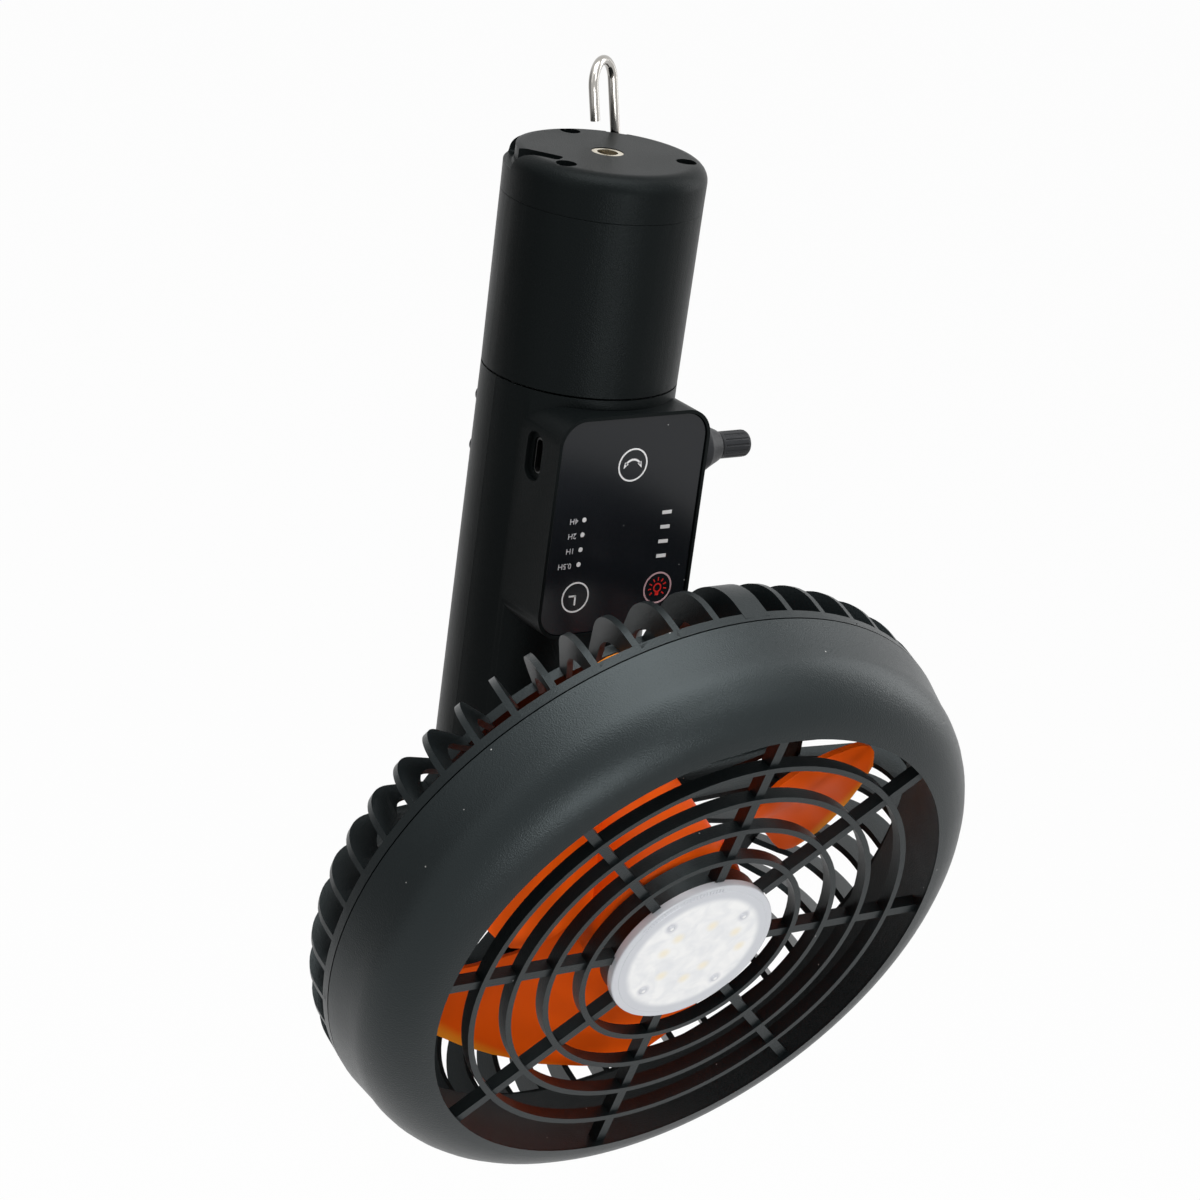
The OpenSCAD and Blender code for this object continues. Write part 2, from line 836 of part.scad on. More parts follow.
module neck_arm() {
  color([0.2, 0.22, 0.24])
    difference() {
      union() {
        at_pivot()
          rotate([0, 90, 0])
            cylinder(r = barrel_r, h = barrel_w, center = true, $fn = mid_fn);
        at_head()
          translate([barrel_w / 2, 0, 0])
            rotate([0, -90, 0])
              linear_extrude(height = barrel_w)
                polygon([[-reach, arm_low], [-head_depth - mount_t, -mount_r + 2],
                  [-head_depth - mount_t, arm_high + 1], [-reach, arm_high]]);
        at_head()
          translate([0, 0, -head_depth - mount_t - seat_gap])
            cylinder(r = mount_r, h = mount_t, $fn = mid_fn);
      }
      at_pivot()
        rotate([0, 90, 0])
          cylinder(r = tilt_pin_r + run_gap, h = barrel_w + 2, center = true, $fn = mid_fn);
      neck_screw_places()
        translate([0, 0, -10])
          cylinder(r = 1.6, h = 20, $fn = small_fn);
    }
}

module neck_screw_places() {
  at_head()
    for (a = [20, 90, 160])
      rotate([0, 0, a])
        translate([mount_r - 4.5, 0, -head_depth - mount_t - seat_gap])
          children();
}

module neck_screws() {
  color([0.3, 0.31, 0.33])
    neck_screw_places()
      rotate([180, 0, 0])
        small_screw(2.6, 1.6, 1.3, mount_t + 2.4);
}

// ---- cage, bezel and grille

opening_r = bezel_r - bezel_width;
bezel_c = [bezel_r - bezel_round, -bezel_round + 0.3];
rim_angle = acos((opening_r - bezel_c[0]) / bezel_round);
bezel_back_r = bezel_r + bezel_flare;
duct_r = opening_r + duct_flare;
ring_pitch = (opening_r - lens_r - first_ring_gap) / ring_count;
rib_front = -0.5;
rib_back = rib_front - rib_depth;
cup_r = lens_r - 0.6;
lens_seat = -2.1;
led_screw_ring = 16.2;

module front_guard() {
  color([0.27, 0.3, 0.33])
    at_head()
      difference() {
        union() {
          // bezel with the duct inside it
          rotate_extrude($fn = wide_fn)
            polygon(concat([[opening_r, -0.6]], arc_pts(bezel_c, bezel_round, rim_angle, 0, 9),
              [[bezel_back_r, -bezel_depth], [bezel_back_r - bezel_wall, -bezel_depth]],
              arc_pts(bezel_c, bezel_round - bezel_wall, 0, rim_angle - 12, 7),
              [[opening_r + bezel_wall + 0.4, -bezel_wall - 2], [duct_r + bezel_wall, -bezel_depth],
                [duct_r, -bezel_depth]]));
          for (i = [1 : ring_count])
            rotate_extrude($fn = wide_fn)
              translate([opening_r - ring_pitch * i - ring_w / 2, rib_back])
                square([ring_w, rib_depth]);
          for (i = [0 : spoke_count - 1])
            rotate([0, 0, 360 * i / spoke_count])
              translate([cup_r - 1, -spoke_w / 2, rib_back - 0.6])
                cube([opening_r - cup_r + 2, spoke_w, rib_depth - 0.2]);
          // cup of the lamp
          rotate_extrude($fn = mid_fn)
            polygon([[0, -lamp_depth], [cup_r - 1.2, -lamp_depth], [cup_r, -lamp_depth + 1.4],
              [cup_r, lens_seat + 0.4], [cup_r - 2, lens_seat + 0.4], [cup_r - 2, -lamp_depth + 1.6],
              [0, -lamp_depth + 1.6]]);
        }
        // seat of the lens
        translate([0, 0, lens_seat])
          cylinder(r = lens_r + 0.25, h = 6, $fn = wide_fn);
      }
}

flange_top = -bezel_depth - 0.4;
flange_low = flange_top - 2.6;
fin_out_c = [bezel_back_r - fin_round, flange_top - 6.4];
fin_in_c = [bezel_back_r - fin_depth - fin_in_round, flange_top - 6.1];
fin_rim_angle = 75;
back_ring_r = bezel_back_r - back_ring_in;
back_z = -head_depth;
skirt_r = bezel_r - bezel_wall - 0.9;

module fin_outline() {
  difference() {
    union() {
      intersection() {
        translate(fin_out_c)
          circle(r = fin_round, $fn = wide_fn);
        translate([fin_out_c[0], back_z])
          square([fin_round + 1, fin_out_c[1] - back_z]);
      }
      polygon([fin_out_c, fin_out_c + fin_round * [cos(fin_rim_angle), -sin(fin_rim_angle)],
        [back_ring_r, back_z + 0.5], [back_ring_r - 1, back_z + 0.5], [back_ring_r - 1, fin_out_c[1]]]);
      translate([fin_in_c[0], fin_out_c[1] - eps])
        square([bezel_back_r - fin_in_c[0], flange_top - 1 - fin_out_c[1]]);
    }
    translate(fin_in_c)
      circle(r = fin_in_round, $fn = wide_fn);
    translate([back_ring_r - 4, fin_in_c[1]])
      square([fin_in_c[0] + fin_in_round - back_ring_r + 4, 20]);
    polygon([[back_ring_r - 4, fin_in_c[1] + eps], [fin_in_c[0] + 4, fin_in_c[1] + eps],
      [fin_in_c[0] + 2.5, fin_in_c[1] - fin_in_round + 0.3], [back_ring_r - 4, back_z + 2.5]]);
  }
}

module fin(t) {
  rotate([90, 0, 0])
    translate([0, 0, -t / 2])
      linear_extrude(height = t)
        fin_outline();
}

module rear_cage() {
  color([0.22, 0.24, 0.26])
    at_head()
      difference() {
        union() {
          // flange with a skirt that goes into the bezel
          rotate_extrude($fn = wide_fn)
            polygon([[bezel_back_r - fin_depth, flange_low], [bezel_back_r, flange_low],
              [bezel_back_r, flange_top], [skirt_r, flange_top], [skirt_r, -bezel_depth + 5],
              [skirt_r - 1.8, -bezel_depth + 5], [skirt_r - 1.8, flange_top],
              [bezel_back_r - fin_depth, flange_top]]);
          for (i = [1 : fin_count - 1])
            rotate([0, 0, 90 + 360 * i / fin_count])
              fin(fin_t);
          rotate([0, 0, 90])
            fin(wide_rib);
          // flat ring, bars and hub of the back
          rotate_extrude($fn = wide_fn)
            translate([back_ring_r - back_ring_w, back_z])
              square([back_ring_w, 2.8]);
          for (i = [0 : fin_count / 2 - 1])
            rotate([0, 0, 90 + 720 * i / fin_count])
              translate([back_hub_r - 1, -back_bar_w / 2, back_z])
                cube([back_ring_r - back_ring_w - back_hub_r + 2, back_bar_w, back_bar_h]);
          translate([0, 0, back_z])
            cylinder(r = back_hub_r, h = 2.8, $fn = mid_fn);
        }
        neck_holes();
      }
}

module neck_holes() {
  for (a = [20, 90, 160])
    rotate([0, 0, a])
      translate([mount_r - 4.5, 0, -head_depth - 1])
        cylinder(r = 1.32, h = 8, $fn = small_fn);
}

module led_screw_places() {
  for (a = [38, 128, 218, 308])
    rotate([0, 0, a])
      translate([led_screw_ring, 0, 0])
        children();
}

module led_board() {
  color([0.92, 0.93, 0.9])
    at_head()
      union() {
        translate([0, 0, -lamp_depth + 1.6 + seat_gap])
          cylinder(r = cup_r - 2.4, h = 1.6, $fn = mid_fn);
        for (i = [0 : 11])
          rotate([0, 0, 30 * i])
            translate([11 - 1.4, -1.4, -lamp_depth + 3.2 + seat_gap - eps])
              cube([2.8, 2.8, 0.7]);
      }
}

module led_lens() {
  color([0.93, 0.95, 0.97, 0.8])
    at_head()
      rotate_extrude($fn = wide_fn)
        polygon([[0, lens_seat + 0.5 + lens_crown], [0, lens_seat + 1.9 + lens_crown],
          [lens_r * 0.5, lens_seat + 1.75 + lens_crown * 0.88],
          [lens_r * 0.8, lens_seat + 1.6 + lens_crown * 0.5],
          [lens_r - 0.7, lens_seat + 1.7], [lens_r, lens_seat + 1.1], [lens_r, lens_seat + seat_gap / 2],
          [cup_r - 2.3, lens_seat + seat_gap / 2], [cup_r - 2.6, lens_seat + 0.3 + lens_crown * 0.2],
          [lens_r * 0.5, lens_seat + 0.4 + lens_crown * 0.85]]);
}

module led_screws() {
  color([0.75, 0.76, 0.78])
    at_head()
      led_screw_places()
        translate([0, 0, -lamp_depth + 3.2 + 2 * seat_gap])
          cylinder(r = 1.5, h = 1, $fn = small_fn);
}

// ---- rotor and motor

hub_front = -11;
motor_back = -head_depth + 2.8 + seat_gap;
motor_front = hub_front - 6.4;
hub_low = motor_back + 3;

module fan_motor() {
  color([0.6, 0.61, 0.63])
    at_head()
      difference() {
        union() {
          translate([0, 0, motor_back])
            cylinder(r = motor_r, h = motor_front - motor_back - 1.2, $fn = mid_fn);
          translate([0, 0, motor_front - 1.2 - eps])
            cylinder(r = 4, h = 1.2, $fn = small_fn);
        }
        translate([0, 0, motor_front - 14])
          cylinder(r = shaft_r + run_gap, h = 20, $fn = mid_fn);
      }
}

module motor_shaft() {
  color([0.8, 0.81, 0.82])
    at_head()
      translate([0, 0, motor_front - 13.6])
        cylinder(r = shaft_r, h = hub_front - 2.6 - motor_front + 13.6, $fn = mid_fn);
}

// a blade is a part of a screw surface: its outline is cut in plan
blade_r = opening_r - tip_gap;
blade_over = root_lead + 4;
blade_h = blade_rise * (blade_sweep + 4 + blade_over);
blade_wedge = blade_t / blade_rise;
tip_round = 14;

function polar(r, a) = [r * cos(a), r * sin(a)];
function lead(f) = root_lead * (1 - f) * (1 - f);

module blade_plan() {
  polygon(concat(
    [for (i = [0 : 6]) let (f = i / 6) polar(rotor_hub_r - 2 + (0.86 * blade_r - rotor_hub_r + 2) * f, lead(f))],
    [for (i = [1 : 5]) let (f = 90 * i / 5)
      polar(blade_r * (0.86 + 0.14 * sin(f)), -tip_round * (1 - cos(f)))],
    [for (i = [1 : 12]) polar(blade_r, -tip_round - (blade_sweep - tip_round) * i / 12)],
    [for (i = [1 : 6]) let (f = i / 6) polar(blade_r + (rotor_hub_r - 2 - blade_r) * f,
      -blade_sweep + sweep_loss * f * (1.4 - 0.4 * f))]));
}

module blade() {
  intersection() {
    translate([0, 0, -blade_front - blade_rise * (blade_sweep + 4)])
      rotate([0, 0, -blade_sweep - 4])
        linear_extrude(height = blade_h, twist = -blade_h / blade_rise, slices = 32, convexity = 6)
          polygon([polar(rotor_hub_r - 1.6, 0), polar(blade_r + 4, 0), polar(blade_r + 4, -blade_wedge / 2),
            polar(blade_r + 4, -blade_wedge), polar(rotor_hub_r - 1.6, -blade_wedge)]);
    translate([0, 0, -head_depth])
      linear_extrude(height = head_depth)
        blade_plan();
  }
}

module fan_blades() {
  color([0.93, 0.42, 0.1])
    at_head()
      difference() {
        union() {
          rotate_extrude($fn = mid_fn)
            polygon([[0, hub_front - 2.6], [0, hub_front], [rotor_hub_r - 2.5, hub_front],
              [rotor_hub_r, hub_front - 2.5], [rotor_hub_r, hub_low], [rotor_hub_r - 2, hub_low],
              [rotor_hub_r - 2, hub_front - 2.6]]);
          translate([0, 0, hub_front - 5.8])
            cylinder(r = 4.5, h = 4, $fn = small_fn);
          for (i = [0 : blade_count - 1])
            rotate([0, 0, blade_turn + 360 * i / blade_count])
              blade();
        }
        translate([0, 0, hub_front - 9])
          cylinder(r = shaft_r + 0.02, h = 6.4, $fn = mid_fn);
      }
}

base_cap();
base_tube();
tripod_socket();
base_screws();
hook();
hook_pin();
swing_motor();
swivel_plate();
swivel_ring();
housing_front();
housing_rear();
housing_screws();
control_panel();
control_board();
usb_socket();
knob_collar();
speed_pot();
speed_knob();
battery_cells();
battery_frame();
neck_yoke();
tilt_pin();
neck_arm();
neck_screws();
rear_cage();
front_guard();
led_board();
led_lens();
led_screws();
fan_motor();
motor_shaft();
fan_blades();
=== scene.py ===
import bpy
import json
from math import cos, radians, sin
from mathutils import Matrix, Vector


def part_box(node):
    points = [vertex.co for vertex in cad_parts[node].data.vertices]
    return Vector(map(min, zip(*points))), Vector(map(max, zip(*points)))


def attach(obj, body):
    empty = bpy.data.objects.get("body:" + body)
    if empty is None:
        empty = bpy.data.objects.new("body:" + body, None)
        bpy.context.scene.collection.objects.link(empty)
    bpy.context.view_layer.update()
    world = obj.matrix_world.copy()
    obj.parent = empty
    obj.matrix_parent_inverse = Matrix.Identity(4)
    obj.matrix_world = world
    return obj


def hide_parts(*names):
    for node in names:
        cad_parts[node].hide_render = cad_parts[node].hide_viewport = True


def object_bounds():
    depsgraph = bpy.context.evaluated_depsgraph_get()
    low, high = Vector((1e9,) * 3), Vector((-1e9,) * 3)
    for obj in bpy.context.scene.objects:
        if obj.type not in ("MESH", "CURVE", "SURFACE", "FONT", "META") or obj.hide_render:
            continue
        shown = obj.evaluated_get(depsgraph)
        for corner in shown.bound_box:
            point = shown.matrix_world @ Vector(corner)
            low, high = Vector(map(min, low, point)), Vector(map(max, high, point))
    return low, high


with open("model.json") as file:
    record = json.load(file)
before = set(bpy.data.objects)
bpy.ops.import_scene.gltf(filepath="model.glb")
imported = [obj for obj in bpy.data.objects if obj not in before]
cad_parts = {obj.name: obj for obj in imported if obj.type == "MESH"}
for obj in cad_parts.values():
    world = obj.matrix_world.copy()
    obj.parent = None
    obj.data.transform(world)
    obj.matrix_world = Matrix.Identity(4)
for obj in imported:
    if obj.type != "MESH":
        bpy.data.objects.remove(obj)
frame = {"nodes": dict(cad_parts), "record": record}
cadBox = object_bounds()
mm = 0.001

# places of the base's flat end, the fan head and the panel, read from the frame
insertSunk = 0.15  # mm from the insert's face to the flat end
rotorBehind = 20  # mm from the lamp's plane back to the rotor's middle
mounts = {m["name"]: m for m in frame["record"]["mounts"]}
joints = {j["name"]: j for j in frame["record"]["behaviour"]["joints"]}
plateCentre = Vector(mounts["tripod_socket"]["pos_m"]) + Vector((0, 0, insertSunk * mm))
fanAxis = Vector(joints["fan_spin"]["axis"]).normalized()
headCentre = Vector(joints["fan_spin"]["pos_m"]) + rotorBehind * mm * fanAxis
headSide = Vector((1, 0, 0))
headUp = fanAxis.cross(headSide)
headTurn = Matrix((headSide, headUp, fanAxis)).transposed()
headPlace = Matrix.Translation(headCentre) @ headTurn.to_4x4()
capTop = Vector((plateCentre.x, plateCentre.y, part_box("base_cap")[1].z))
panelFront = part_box("control_panel")[0][1]


def metres(*lengths):
    return tuple(length * mm for length in lengths)


def ringPoint(radius, turn):  # turn in degrees
    return radius * cos(radians(turn)), radius * sin(radians(turn))


def deselectAll():
    if bpy.context.object and bpy.context.object.mode != "OBJECT":
        bpy.ops.object.mode_set(mode="OBJECT")
    bpy.ops.object.select_all(action="DESELECT")


def chosen(obj):
    deselectAll()
    obj.select_set(True)
    bpy.context.view_layer.objects.active = obj
    return obj


def keepTransform():
    bpy.ops.object.transform_apply(location=True, rotation=True, scale=True)


def settle(obj, place, name):  # the piece goes to its place, and the place into its mesh
    chosen(obj)
    obj.name = name
    obj.data.name = name
    obj.matrix_world = place @ obj.matrix_world
    keepTransform()
    return obj


def applyModifiers(obj):
    chosen(obj)
    for modifier in list(obj.modifiers):
        bpy.ops.object.modifier_apply(modifier=modifier.name)


def joined(pieces):
    deselectAll()
    for piece in pieces:
        piece.select_set(True)
    bpy.context.view_layer.objects.active = pieces[0]
    bpy.ops.object.join()
    return bpy.context.object


def carve(obj, tool, how):
    chosen(obj)
    cut = obj.modifiers.new("cut", "BOOLEAN")
    cut.operation = how
    cut.solver = "EXACT"
    cut.object = tool
    applyModifiers(obj)
    bpy.data.objects.remove(tool)
    return obj


def roundEdges(obj, width, segments, sharpest):  # sharpest: the angle from which an edge is rounded
    edge = obj.modifiers.new("edge", "BEVEL")
    edge.width = width * mm
    edge.segments = segments
    edge.angle_limit = radians(sharpest)
    return edge


def dress(obj, material, body, replaced=()):
    obj.data.materials.clear()
    obj.data.materials.append(material)
    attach(obj, body)
    if replaced:
        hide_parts(*replaced)
    return obj


# drawing in edit mode: a first point, lines from it, and a turn about the upright axis
def firstPoint(*place):
    deselectAll()
    bpy.ops.mesh.primitive_plane_add(size=mm)
    bpy.ops.object.mode_set(mode="EDIT")
    bpy.ops.mesh.select_mode(type="VERT")
    bpy.ops.mesh.select_all(action="SELECT")
    bpy.ops.mesh.merge(type="CENTER")
    bpy.ops.transform.translate(value=metres(*place))
    return bpy.context.object


def lineOn(*step):
    bpy.ops.mesh.extrude_vertices_move(TRANSFORM_OT_translate={"value": metres(*step)})


def turnAll(turn, steps):  # a turn above 0 goes clockwise
    bpy.ops.mesh.select_all(action="SELECT")
    bpy.ops.mesh.spin(steps=steps, angle=radians(turn), center=(0, 0, 0), axis=(0, 0, 1))


def faceOutwards():  # and back to object mode
    bpy.ops.mesh.select_all(action="SELECT")
    bpy.ops.mesh.normals_make_consistent(inside=False)
    bpy.ops.object.mode_set(mode="OBJECT")


def lathed(points, steps):  # a closed turned shape, from its profile
    turned = firstPoint(points[0][0], 0, points[0][1])
    for (x0, z0), (x1, z1) in zip(points, points[1:]):
        lineOn(x1 - x0, 0, z1 - z0)
    turnAll(360, steps)
    bpy.ops.mesh.select_all(action="SELECT")
    bpy.ops.mesh.remove_doubles(threshold=0.001 * mm)
    faceOutwards()
    return turned


# materials
skinLook = {"bump": 0.0003, "detail": 2, "cloud": 45, "spread": 0.05}
dustLook = {"size": 420.0, "in": 0.06, "out": 0.1, "colour": (0.35, 0.35, 0.34)}
plainSkin = {"depth": 0.02, "grain": 3000.0, "specular": 0.5}


def newGroup(name, inputs, outputs):
    group = bpy.data.node_groups.new(name, "ShaderNodeTree")
    for label, value in inputs:
        socket = group.interface.new_socket(label, in_out="INPUT", socket_type="NodeSocketFloat")
        socket.default_value = value
    for label, kind in outputs:
        group.interface.new_socket(label, in_out="OUTPUT", socket_type=kind)
    return group, group.nodes.new("NodeGroupInput"), group.nodes.new("NodeGroupOutput")


def makeMouldedSkin():  # spark texture of moulded plastic: fine bumps, and areas a little glossier
    group, into, out = newGroup(
        "mouldedSkin", [("Grain Size", 5000.0), ("Depth", 0.1), ("Roughness", 0.5)],
        [("Roughness", "NodeSocketFloat"), ("Normal", "NodeSocketVector")])
    nodes, links = group.nodes, group.links
    coords = nodes.new("ShaderNodeTexCoord")
    grain = nodes.new("ShaderNodeTexNoise")
    grain.inputs["Detail"].default_value = skinLook["detail"]
    links.new(coords.outputs["Object"], grain.inputs["Vector"])
    links.new(into.outputs["Grain Size"], grain.inputs["Scale"])
    bump = nodes.new("ShaderNodeBump")
    bump.inputs["Distance"].default_value = skinLook["bump"]
    links.new(into.outputs["Depth"], bump.inputs["Strength"])
    links.new(grain.outputs["Fac"], bump.inputs["Height"])
    cloud = nodes.new("ShaderNodeTexNoise")
    cloud.inputs["Scale"].default_value = skinLook["cloud"]
    links.new(coords.outputs["Object"], cloud.inputs["Vector"])
    spread = nodes.new("ShaderNodeMapRange")
    spread.inputs["To Min"].default_value = -skinLook["spread"]
    spread.inputs["To Max"].default_value = skinLook["spread"]
    links.new(cloud.outputs["Fac"], spread.inputs["Value"])
    total = nodes.new("ShaderNodeMath")
    total.operation = "ADD"
    links.new(into.outputs["Roughness"], total.inputs[0])
    links.new(spread.outputs["Result"], total.inputs[1])
    links.new(total.outputs["Value"], out.inputs["Roughness"])
    links.new(bump.outputs["Normal"], out.inputs["Normal"])
    return group


def makeFineDust():  # a few pale specks that settle on the plastic
    group, into, out = newGroup("fineDust", [("Amount", 0.06)], [("Mask", "NodeSocketFloat")])
    nodes, links = group.nodes, group.links
    coords = nodes.new("ShaderNodeTexCoord")
    specks = nodes.new("ShaderNodeTexVoronoi")
    specks.inputs["Scale"].default_value = dustLook["size"]
    links.new(coords.outputs["Object"], specks.inputs["Vector"])
    small = nodes.new("ShaderNodeMapRange")
    small.inputs["From Min"].default_value = dustLook["out"]
    small.inputs["From Max"].default_value = dustLook["in"]
    links.new(specks.outputs["Distance"], small.inputs["Value"])
    pick = nodes.new("ShaderNodeSeparateColor")
    links.new(specks.outputs["Color"], pick.inputs["Color"])
    few = nodes.new("ShaderNodeMath")
    few.operation = "LESS_THAN"
    links.new(pick.outputs["Red"], few.inputs[0])
    links.new(into.outputs["Amount"], few.inputs[1])
    mask = nodes.new("ShaderNodeMath")
    mask.operation = "MULTIPLY"
    links.new(small.outputs["Result"], mask.inputs[0])
    links.new(few.outputs["Value"], mask.inputs[1])
    links.new(mask.outputs["Value"], out.inputs["Mask"])
    return group


mouldedSkin = makeMouldedSkin()
fineDust = makeFineDust()


def newMaterial(name):
    material = bpy.data.materials.new(name)
    material.use_nodes = True
    return material, material.node_tree, material.node_tree.nodes["Principled BSDF"]


def mixColours(tree, mask, first, second):  # goes from the first colour to the second with the mask
    mix = tree.nodes.new("ShaderNodeMix")
    mix.data_type = "RGBA"
    tree.links.new(mask, mix.inputs[0])
    for socket, colour in ((mix.inputs[6], first), (mix.inputs[7], second)):
        if isinstance(colour, tuple):
            socket.default_value = (*colour, 1)
        else:
            tree.links.new(colour, socket)
    return mix.outputs[2]


def headCoords(tree):  # places on the fan head in mm, laid flat: x and y across the lamp
    coords = tree.nodes.new("ShaderNodeTexCoord")
    place = tree.nodes.new("ShaderNodeMapping")
    back = headPlace.inverted()
    place.inputs["Location"].default_value = back.to_translation()
    place.inputs["Rotation"].default_value = back.to_euler()
    tree.links.new(coords.outputs["Object"], place.inputs["Vector"])
    flat = tree.nodes.new("ShaderNodeVectorMath")
    flat.operation = "MULTIPLY"
    flat.inputs[1].default_value = (1000, 1000, 0)
    tree.links.new(place.outputs["Vector"], flat.inputs[0])
    return flat.outputs["Vector"]


def distanceMask(tree, coords, point, near, far):  # 1 nearer than near, 0 beyond far, soft between
    away = tree.nodes.new("ShaderNodeVectorMath")
    away.operation = "DISTANCE"
    away.inputs[1].default_value = (*point, 0)
    tree.links.new(coords, away.inputs[0])
    ramp = tree.nodes.new("ShaderNodeMapRange")
    ramp.interpolation_type = "SMOOTHSTEP"
    ramp.inputs["From Min"].default_value = near
    ramp.inputs["From Max"].default_value = far
    ramp.inputs["To Min"].default_value = 1
    ramp.inputs["To Max"].default_value = 0
    tree.links.new(away.outputs["Value"], ramp.inputs["Value"])
    return ramp.outputs["Result"]


def addSkin(tree, shader, roughness, depth, grain):
    skin = tree.nodes.new("ShaderNodeGroup")
    skin.node_tree = mouldedSkin
    skin.inputs["Roughness"].default_value = roughness
    skin.inputs["Depth"].default_value = depth
    skin.inputs["Grain Size"].default_value = grain
    tree.links.new(skin.outputs["Roughness"], shader.inputs["Roughness"])
    tree.links.new(skin.outputs["Normal"], shader.inputs["Normal"])


def mouldedPlastic(name, look):
    material, tree, shader = newMaterial(name)
    addSkin(tree, shader, look["roughness"], look["depth"], look["grain"])
    shader.inputs["Base Color"].default_value = (*look["colour"], 1)
    shader.inputs["Specular IOR Level"].default_value = look["specular"]
    shader.inputs["Specular Tint"].default_value = (*look.get("sheen", (1, 1, 1)), 1)
    if look.get("dust"):
        specks = tree.nodes.new("ShaderNodeGroup")
        specks.node_tree = fineDust
        specks.inputs["Amount"].default_value = look["dust"]
        tree.links.new(mixColours(tree, specks.outputs["Mask"], look["colour"], dustLook["colour"]),
                       shader.inputs["Base Color"])
    if look.get("rim"):  # painted highlight: the blades' outer edge is painted a lighter orange, in place of the light at the thin rim
        rim = distanceMask(tree, headCoords(tree), (0, 0), look["rim"]["out"], look["rim"]["in"])
        tree.links.new(mixColours(tree, rim, look["colour"], look["rim"]["colour"]),
                       shader.inputs["Base Color"])
    return material


def plainFinish(name, look):  # metal, print or wrap with a slight change of gloss over the surface
    material, tree, shader = newMaterial(name)
    addSkin(tree, shader, look["roughness"], plainSkin["depth"], plainSkin["grain"])
    shader.inputs["Base Color"].default_value = (*look["colour"], 1)
    shader.inputs["Metallic"].default_value = look.get("metallic", 0.0)
    shader.inputs["Specular IOR Level"].default_value = look.get("specular", plainSkin["specular"])
    return material


# the lamp's frosted cover: its shape, where the diodes glow through and where its clear band lies
lens = {
    "radius": 22.9, "seat": -2.0, "seatWide": 3, "edgeTop": 0.2, "crown": 0.9, "steps": 128,
    # distance from the middle, and how far the face has dropped from the crown there
    "face": ((0.0, 0), (8.0, 0.05), (14.0, 0.22), (20.4, 0.5), (20.9, 0.54)),
    "rimR": 21.1, "rimHigh": 0.02, "round": 0.5, "roundSteps": 6, "smoothFrom": 24,
    "bumps": 4, "bumpFrom": 45, "bumpRing": 15.6, "bumpR": 1.15, "bumpHigh": 0.45, "bumpSunk": 0.28,
    "bumpSteps": 24,
    "teeth": 26, "toothR": 21.6, "toothFrom": 88, "toothSpan": 62, "toothSize": (1.1, 0.32, 0.3),
    # turn and distance of each diode from the middle
    "diodes": ((78, 9.7), (28, 12.0), (137, 10.0), (168, 10.1), (359, 14.2), (314, 7.0), (221, 9.7),
               (273, 8.8)),
}
lensLook = {
    "cloud": 0.2, "detail": 2, "twist": 0.6, "cloudFrom": 0.3, "cloudTo": 0.65,
    "dull": (0.76, 0.77, 0.785), "bright": (0.88, 0.88, 0.875),
    "diodeAt": (0.2, 2.4), "diode": (0.86, 0.8, 0.66),
    "bumpRimAt": (0.8, 2.3), "bumpRim": (0.6, 0.61, 0.65),
    "bumpTopAt": (0.3, 0.7), "bumpTop": (0.85, 0.85, 0.85),
    "bandAt": (17.4, 19.6), "band": (0.57, 0.585, 0.62), "roughness": 0.22, "specular": 0.4,
}


def bumpTurns():
    return [lens["bumpFrom"] + 360 / lens["bumps"] * index for index in range(lens["bumps"])]


def frostedLens(name):
    material, tree, shader = newMaterial(name)
    coords = headCoords(tree)
    cloud = tree.nodes.new("ShaderNodeTexNoise")
    cloud.inputs["Scale"].default_value = lensLook["cloud"]
    cloud.inputs["Detail"].default_value = lensLook["detail"]
    cloud.inputs["Distortion"].default_value = lensLook["twist"]
    tree.links.new(coords, cloud.inputs["Vector"])
    mottle = tree.nodes.new("ShaderNodeMapRange")
    mottle.inputs["From Min"].default_value = lensLook["cloudFrom"]
    mottle.inputs["From Max"].default_value = lensLook["cloudTo"]
    tree.links.new(cloud.outputs["Fac"], mottle.inputs["Value"])
    colour = mixColours(tree, mottle.outputs["Result"], lensLook["dull"], lensLook["bright"])
    for turn, ring in lens["diodes"]:
        near = distanceMask(tree, coords, ringPoint(ring, turn), *lensLook["diodeAt"])
        colour = mixColours(tree, near, colour, lensLook["diode"])
    for turn in bumpTurns():
        spot = ringPoint(lens["bumpRing"], turn)
        for part in ("bumpRim", "bumpTop"):
            near = distanceMask(tree, coords, spot, *lensLook[part + "At"])
            colour = mixColours(tree, near, colour, lensLook[part])
    inside = distanceMask(tree, coords, (0, 0), *lensLook["bandAt"])
    colour = mixColours(tree, inside, lensLook["band"], colour)
    tree.links.new(colour, shader.inputs["Base Color"])
    shader.inputs["Roughness"].default_value = lensLook["roughness"]
    shader.inputs["Specular IOR Level"].default_value = lensLook["specular"]
    return material


